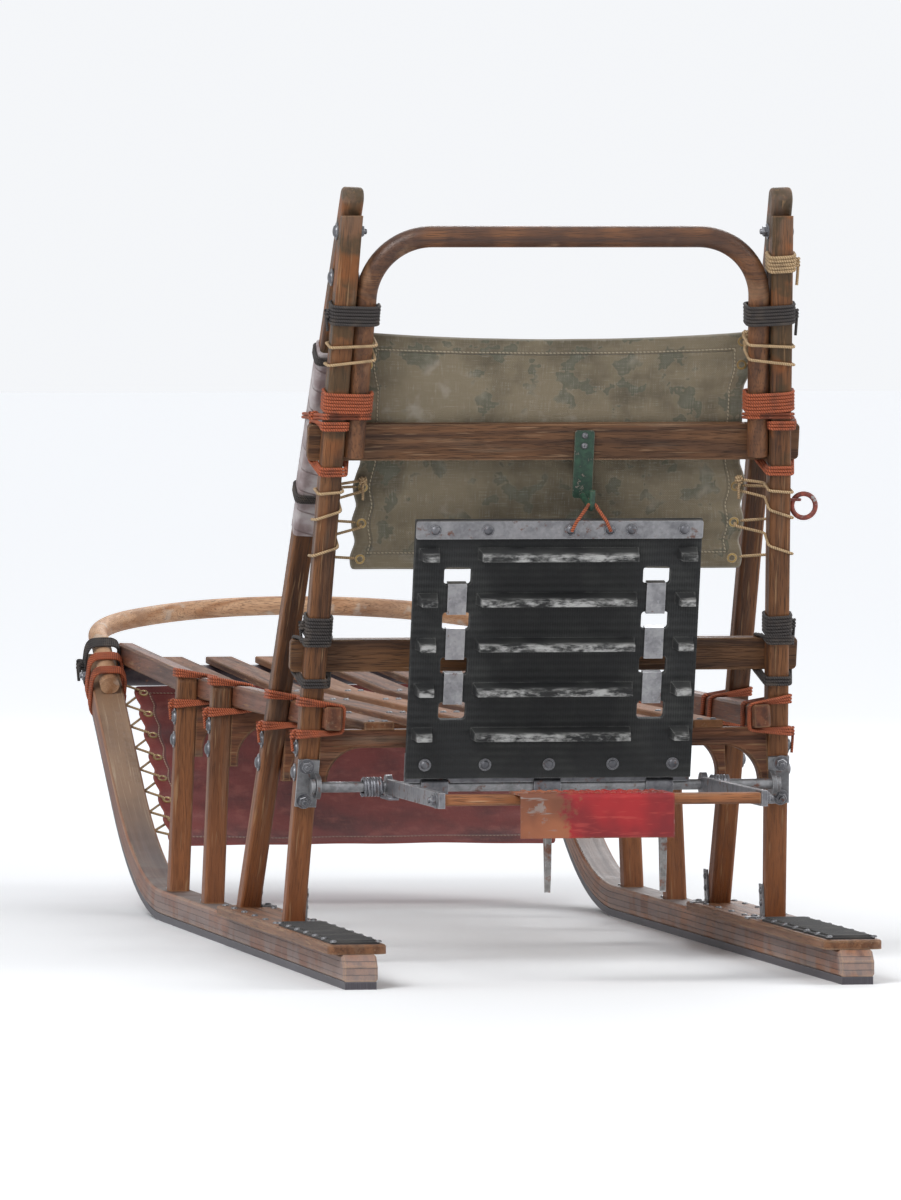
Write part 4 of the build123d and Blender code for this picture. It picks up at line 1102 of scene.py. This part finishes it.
def cloth_shape(x, y):
    """The cloth between its lacings: scalloped at the eyelets, with a low top and small folds."""
    apart = min(abs(y - hole) for hole in cloth_holes) / 0.0296
    rim = abs(x) / cloth_half
    scallop = 0.009 * min(apart, 1.0) ** 1.6 * max(rim - 0.7, 0.0) / 0.3
    top = max(y / cloth_length * 2, 0) ** 3 * 0.010 * (1 - rim**2)
    folds = 0.0026 * cos(pi * apart) * max(rim - 0.4, 0) / 0.6
    wave = sin(x * 24 + 2 * ripple(Vector((x * 5, y * 3, 0.4))))
    drape = 0.0022 * wave * (0.5 - y / cloth_length) * (1 - rim**3)
    crease = 0.0018 * ripple(Vector((x * 16, y * 12, 7.7)))
    rest = -back_way * (abs(drape + folds + crease) + 0.0008)
    return cloth_middle + Vector((x - (scallop if x > 0 else -scallop), 0, 0)) + rise * (y - top) + rest


cloth_size = 2 * cloth_half, cloth_length, 80, 52, 0.002
cloth = sheet_piece("back_cloth_canvas", cloth_shape, *cloth_size, khaki, "back_canvas")
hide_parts("back_cloth")
cloth_rings, cloth_lacing = [], []
for side, sign in sides:
    for group in hole_groups:
        line = []
        for hole, following in zip(group, (*group[1:], group[-1])):
            place = cloth_middle + rise * hole
            eye = cloth_half - hole_inset
            cloth_rings.append((cloth_shape(sign * eye, hole), -back_way))
            inner = inner_at(place.z * 1000)
            past_slat = 31 if place.z > 0.66 else 2.4
            out, inside = (inner + 30.3) / 1000, (inner - past_slat) / 1000
            climb = (following - hole) or 0.012
            steps = [(eye, -0.0375, 0), (out, -0.0185, 0.2), (out, 0.0184, 0.4)]
            steps += [(inside, 0.0184, 0.62), (inside, -0.014, 0.8), (cloth_half - 0.012, -0.027, 0.92)]
            for across, behind, share in steps:
                aside = Vector((sign * across, 0, 0))
                line.append(place + aside + back_way * (behind + cloth_off) + rise * (climb * share))
        cloth_lacing.append(strung(line, 0.0019, pale_cord, 0.005))
        cloth_lacing += knot(line[-1] + back_way * 0.002, back_way, (1, 0, 0), pale_cord, 0.0018)
rings_piece = keep("back_cloth_eyelets", [fastened(eyelet, brass, cloth_rings)])
lacing_piece = keep("back_cloth_lacing", cloth_lacing)

# Pivot: two welded steel brackets bolted behind the uprights carry one steel rod, on which the mat and
# the brake both turn. All zinc-plated, with rust where snow melts off them.
pivot_station, pivot_height = 459.646, 237.57
bracket_steel = steel("bracket_zinc", (140, 140, 142), (96, 96, 98), 0.09, 10.0)
dress(bracket_steel, "pivot_bracket_left", "pivot_bracket_right")
dress(steel("rod_steel", (152, 152, 154), (106, 106, 108), 0.10, 11.0), "pivot_rod")
bracket_bolts = []
for side, sign in sides:
    for up_pole in (173.5, 220.5):
        height = foot_height + up_pole * 0.969
        middle = by_pole(sign, 17, height, upright_foot - up_pole * 0.2465) + back_way * 0.0211
        bracket_bolts.append((middle, back_way))
fixings("bracket_bolts", (hex_nut, bolt_steel, bracket_bolts))

# Drag mat: a length of rubber track, cut from a snow vehicle's, with lugs behind, windows for its steel
# clips, a hinge plate bolted along its lower edge and a flat bar along its upper one.
rubber = Finish("mat_rubber", (25, 26, 27))
x, up = rubber.across(), rubber.reach(rise)
out = rubber.reach(back_way) - at(0, 459.6, 237.6).dot(back_way)
proud = rubber.smooth(out, 0.026, 0.041)
near_belt = 1.0 - rubber.smooth(out, 0.013, 0.015)
dust = rubber.speckle(20.0, 4.0, 1.0)
cords = rubber.sine(x * (2 * pi / 0.0032)) * 0.5 + 0.5
ribs = rubber.sine(up * (2 * pi / 0.0105)) * 0.5 + 0.5
rubber.over((46, 47, 46), rubber.smooth(dust, 0.42, 0.7))
# Painted shade: the grooves between the belt's ribs are darkened.
rubber.over((15, 16, 17), (1.0 - ribs) * near_belt * 0.5)
tip_pattern = rubber.noise((x * 36.0, up * 90.0, rubber.reach(back_way) * 70.0), 4.0, 0.7)
tip_wear_and_highlight = rubber.smooth(tip_pattern, 0.4, 0.66)
# Lug tips painted near white: partly rubbed rubber, partly a painted highlight.
rubber.over((190, 190, 188), proud * tip_wear_and_highlight * 0.8)
rubber.over((112, 112, 110), rubber.edges(0.003) * rubber.smooth(dust, 0.36, 0.58) * 0.6)
relief = ribs * near_belt * 0.8 + cords * near_belt * 0.25 + rubber.speckle(420.0, 2.0) * 0.25
rubber.done(0.62 + dust * 0.2 + proud * 0.1, relief, 0.0007)
dress(rubber, "mat_belt")
dress(steel("clip_zinc", (170, 170, 172), (122, 122, 126), 0.03, 13.0), "mat_clips")
dress(steel("hinge_zinc", (120, 120, 124), (82, 82, 86), 0.10, 14.0), "mat_hinge")
dress(steel("bar_zinc", (150, 150, 152), (108, 108, 112), 0.08, 15.0), "mat_bar")
small_dome = template(
    "small_dome",
    turned([(0.0082, 0.0), (0.0082, 0.0014), (0.0030, 0.0014)], 18),
    turned([(0.0062, 0.0012), (0.0057, 0.0026), (0.0045, 0.0037), (0.0026, 0.0043), (0.0009, 0.0044)], 14),
)


def on_mat(across, up, out):
    """A place on the stowed mat, from the pivot rod's middle, in millimetres."""
    return at(across, pivot_station, pivot_height) + rise * (up / 1000) + back_way * (out / 1000)


bar_up, hinge_up = 353, 33
hinge_bolts = (-165, -85, 0, 85, 165)
mat_heads = [(on_mat(across, bar_up, 17.05), back_way) for across in (-165, -95, 95, 165, 14, 66)]
mat_heads += [(on_mat(across, hinge_up, 12.05), back_way) for across in hinge_bolts]
mat_nuts = [(on_mat(across, bar_up, 3.95), -back_way) for across in (-165, -95, 14, 66, 95, 165)]
mat_nuts += [(on_mat(across, hinge_up, -0.05), -back_way) for across in hinge_bolts]
mat_kinds = (small_dome, bolt_steel, mat_heads), (hex_nut, bolt_steel, mat_nuts, 9)
fixings("mat_bolts", *mat_kinds, body="drag_mat")

# Hook and loop: a rod hook on a strap under the upper slat, painted dark green, over which the mat's
# cord loop is hung to hold the mat up.
flakes, chipped, mottled = (110.0, 4.0, 3.0, 0.7), (0.62, 0.68), (0.3, 0.6)
tones = (44, 78, 58), (30, 54, 42), (128, 118, 108)
dress(paint("hook_green", *tones, flakes, chipped, mottled, (0.36, 0.3, 0.0), rubbed=0.7), "mat_hook")
loop_half = ((353, 24.5, 26.0), (366, 24, 20.0), (384, 21, 7.0), (389.5, 20, 4.8))
loop = [on_mat(40 - apart, up, out) for up, out, apart in loop_half]
loop += [on_mat(40 + apart, up, out) for up, out, apart in reversed(loop_half)]
keep("mat_loop", [strung(loop, bind_radius, orange_cord, 0.009)], body="drag_mat")
strap_screws = [(on_mat(40, up, -51.2), back_way) for up in (448, 462)]
fixings("hook_strap_screws", (screw, screw_steel, strap_screws))

# Brake: two flat steel arms on the rod, an ash bar bolted between their ends, a folded steel treadle
# painted red on it and two forged claws behind. The paint is scuffed off where boots press it.
dress(steel("arm_zinc", (136, 136, 140), (94, 94, 98), 0.10, 17.0), "brake_arm_left", "brake_arm_right")
tones = (156, 100, 62), (106, 64, 40), (190, 156, 122)
dress(ash("crossbar_ash", (1, 0, 0), *tones, 110, wear=0.9), "brake_crossbar")
dress(steel("claw_steel", (146, 144, 142), (92, 88, 86), 0.16, 19.0, (112, 62, 36)), "brake_claws")
red = Finish("treadle_red", (156, 22, 27), Coat_Roughness=0.2)
x = red.across()
flake = red.speckle(60.0, 4.0, 2.0, 0.7)
cloud = red.speckle(13.0, 3.0, 7.0)
drag = red.noise((x * 16.0, red.fore() * 130.0, red.height() * 130.0), 3.0, 0.7)
red.over((114, 16, 22), red.smooth(cloud, 0.4, 0.65))
red.over((182, 70, 62), red.smooth(drag, 0.52, 0.66) * 0.4)
worn_end = 1.0 - red.smooth(x + (flake - 0.5) * 0.12, -0.066, -0.044)
primer = red.most(worn_end, red.edges(0.004) * red.smooth(cloud, 0.32, 0.5))
base_coat = red.mix(tint((150, 90, 60)), tint((112, 66, 46)), red.smooth(cloud, 0.4, 0.62))
red.colour = red.mix(red.colour, base_coat, primer)
bare = red.smooth(red.most(flake * (0.8 + primer * 0.25), drag * (0.84 + primer * 0.16)), 0.6, 0.68)
red.over((150, 138, 132), bare * 0.85)
red.done(0.36 + cloud * 0.2 + primer * 0.25, 0.0 - bare * 0.8 - primer * 0.5, 0.0004, bare * 0.7)
dress(red, "brake_treadle")
stud_profile = [(0.0048, -0.0005), (0.0044, 0.0010), (0.0028, 0.0019), (0.0010, 0.0021)]
stud = template("stud", turned(stud_profile, 10))
stud_gap, row_gap, treadle_top = 21, 15, 247.6
studs = [
    (at(-99 + stud_gap * (i + (j % 2) / 2), 76 - row_gap * j, treadle_top), (0, 0, 1))
    for j in range(5)
    for i in range(9 - (j % 2))
]
keep("treadle_studs", [fastened(stud, red, studs)], body="brake")
arm_face, arm_end = 214.05, 66.65
brake_nuts = [(at(sign * arm_face, arm_end, pivot_height), (sign, 0, 0)) for side, sign in sides]
fixings("brake_nuts", (hex_nut, bolt_steel, brake_nuts), body="brake")

# Brake springs: each is one steel wire, coiled round the rod outside its arm, with a tail that runs
# under the arm and lifts it.
spring_steel = steel("spring_steel", (128, 128, 134), (84, 84, 90), 0.06, 23.0)
coils, coil_steps, coil_radius = 6, 20, 0.0109
for side, sign in sides:
    centre = at(0, pivot_station, pivot_height)
    wire = []
    for n in range(coils * coil_steps + 1):
        turn = -pi / 2 + 2 * pi * n / coil_steps
        out = 0.2445 - 0.025 * n / (coils * coil_steps)
        wire.append(centre + Vector((sign * out, coil_radius * cos(turn), coil_radius * sin(turn))))
    tail = ((0.2195, -0.004), (0.2195, -0.0615), (0.2065, -0.0615))
    wire += [centre + Vector((sign * out, fore, -0.0128)) for out, fore in tail]
    coiled = strung(wire, 0.0024, spring_steel, 0.003)
    spring = keep(f"brake_spring_wire_{side}", [coiled], body="brake")
    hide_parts(f"brake_spring_{side}")

# Tether ring: a steel ring with a red-brown coating, hung in a staple driven into the upright.
# The coating has flaked off in places, down to the steel.
flakes, chipped, mottled = (120.0, 3.0, 5.0, 0.6), (0.6, 0.66), (0.3, 0.58)
tones = (158, 76, 56), (108, 48, 38), (150, 146, 144)
dress(paint("ring_coating", *tones, flakes, chipped, mottled, (0.4, 0.2, 0.0), metal=0.7), "tether_ring")


# Studio: a pale floor that runs to a white horizon, a broad soft light above the sled's left rear, one
# from the right, one from beyond the nose and a pale sky all round.
def lamp(name, place, target, wide, power, colour=(1.0, 1.0, 1.0)):
    light = bpy.data.lights.new(name, "AREA")
    light.shape = "DISK"
    light.size = wide
    light.energy = power
    light.color = colour
    aimed(placed(name, light), place, target)


def seen(works):
    """1 for what the eye meets straight on, mirrored or through glass, 0 for what lights the sled."""
    straight = works.node("ShaderNodeLightPath", {}, {}, "Is Camera Ray")
    rays = straight.socket.node.outputs
    mirrored, through = (Strand(works, rays[f"Is {kind} Ray"]) for kind in ("Glossy", "Transmission"))
    return works.most(works.most(straight, mirrored), through)


lamp("key", (-3.2, -4.2, 4.6), (0, 0, 0.3), 3.6, 260)
lamp("side", (4.6, -1.6, 2.6), (0, 0, 0.4), 2.8, 110, (1.0, 0.98, 0.95))
lamp("back", (1.6, 5.0, 3.8), (0, 0, 0.4), 3.0, 150, (0.96, 0.98, 1.0))
world = bpy.data.worlds.new("sky")
world.use_nodes = True
sky = Works(world.node_tree)
backdrop = world.node_tree.nodes["Background"]
backdrop.inputs["Color"].default_value = (0.96, 0.975, 1.0, 1.0)
strength = seen(sky) * 0.45 + 0.5
sky.tree.links.new(strength.socket, backdrop.inputs["Strength"])
bpy.context.scene.world = world
ground = Finish("floor", Roughness=0.9, Emission_Strength=1.0)
ground.shader.inputs["Base Color"].default_value = (0.86, 0.87, 0.885, 1.0)
away = ground.node("ShaderNodeVectorMath", {"operation": "LENGTH"}, {0: ground.place}, "Value")
far = ground.mix((0.0, 0.0, 0.0), (0.46, 0.47, 0.485), ground.smooth(away, 3.5, 8.0) * seen(ground))
ground.tree.links.new(far.socket, ground.shader.inputs["Emission Color"])
floor_half = 60
form = bmesh.new()
corners = ((-1, -1), (1, -1), (1, 1), (-1, 1))
form.faces.new([form.verts.new((x * floor_half, y * floor_half, 0)) for x, y in corners])
mesh = settled(form, "floor")
mesh.materials.append(ground.material)
placed("floor", mesh)
bpy.context.scene.view_settings.view_transform = "Standard"
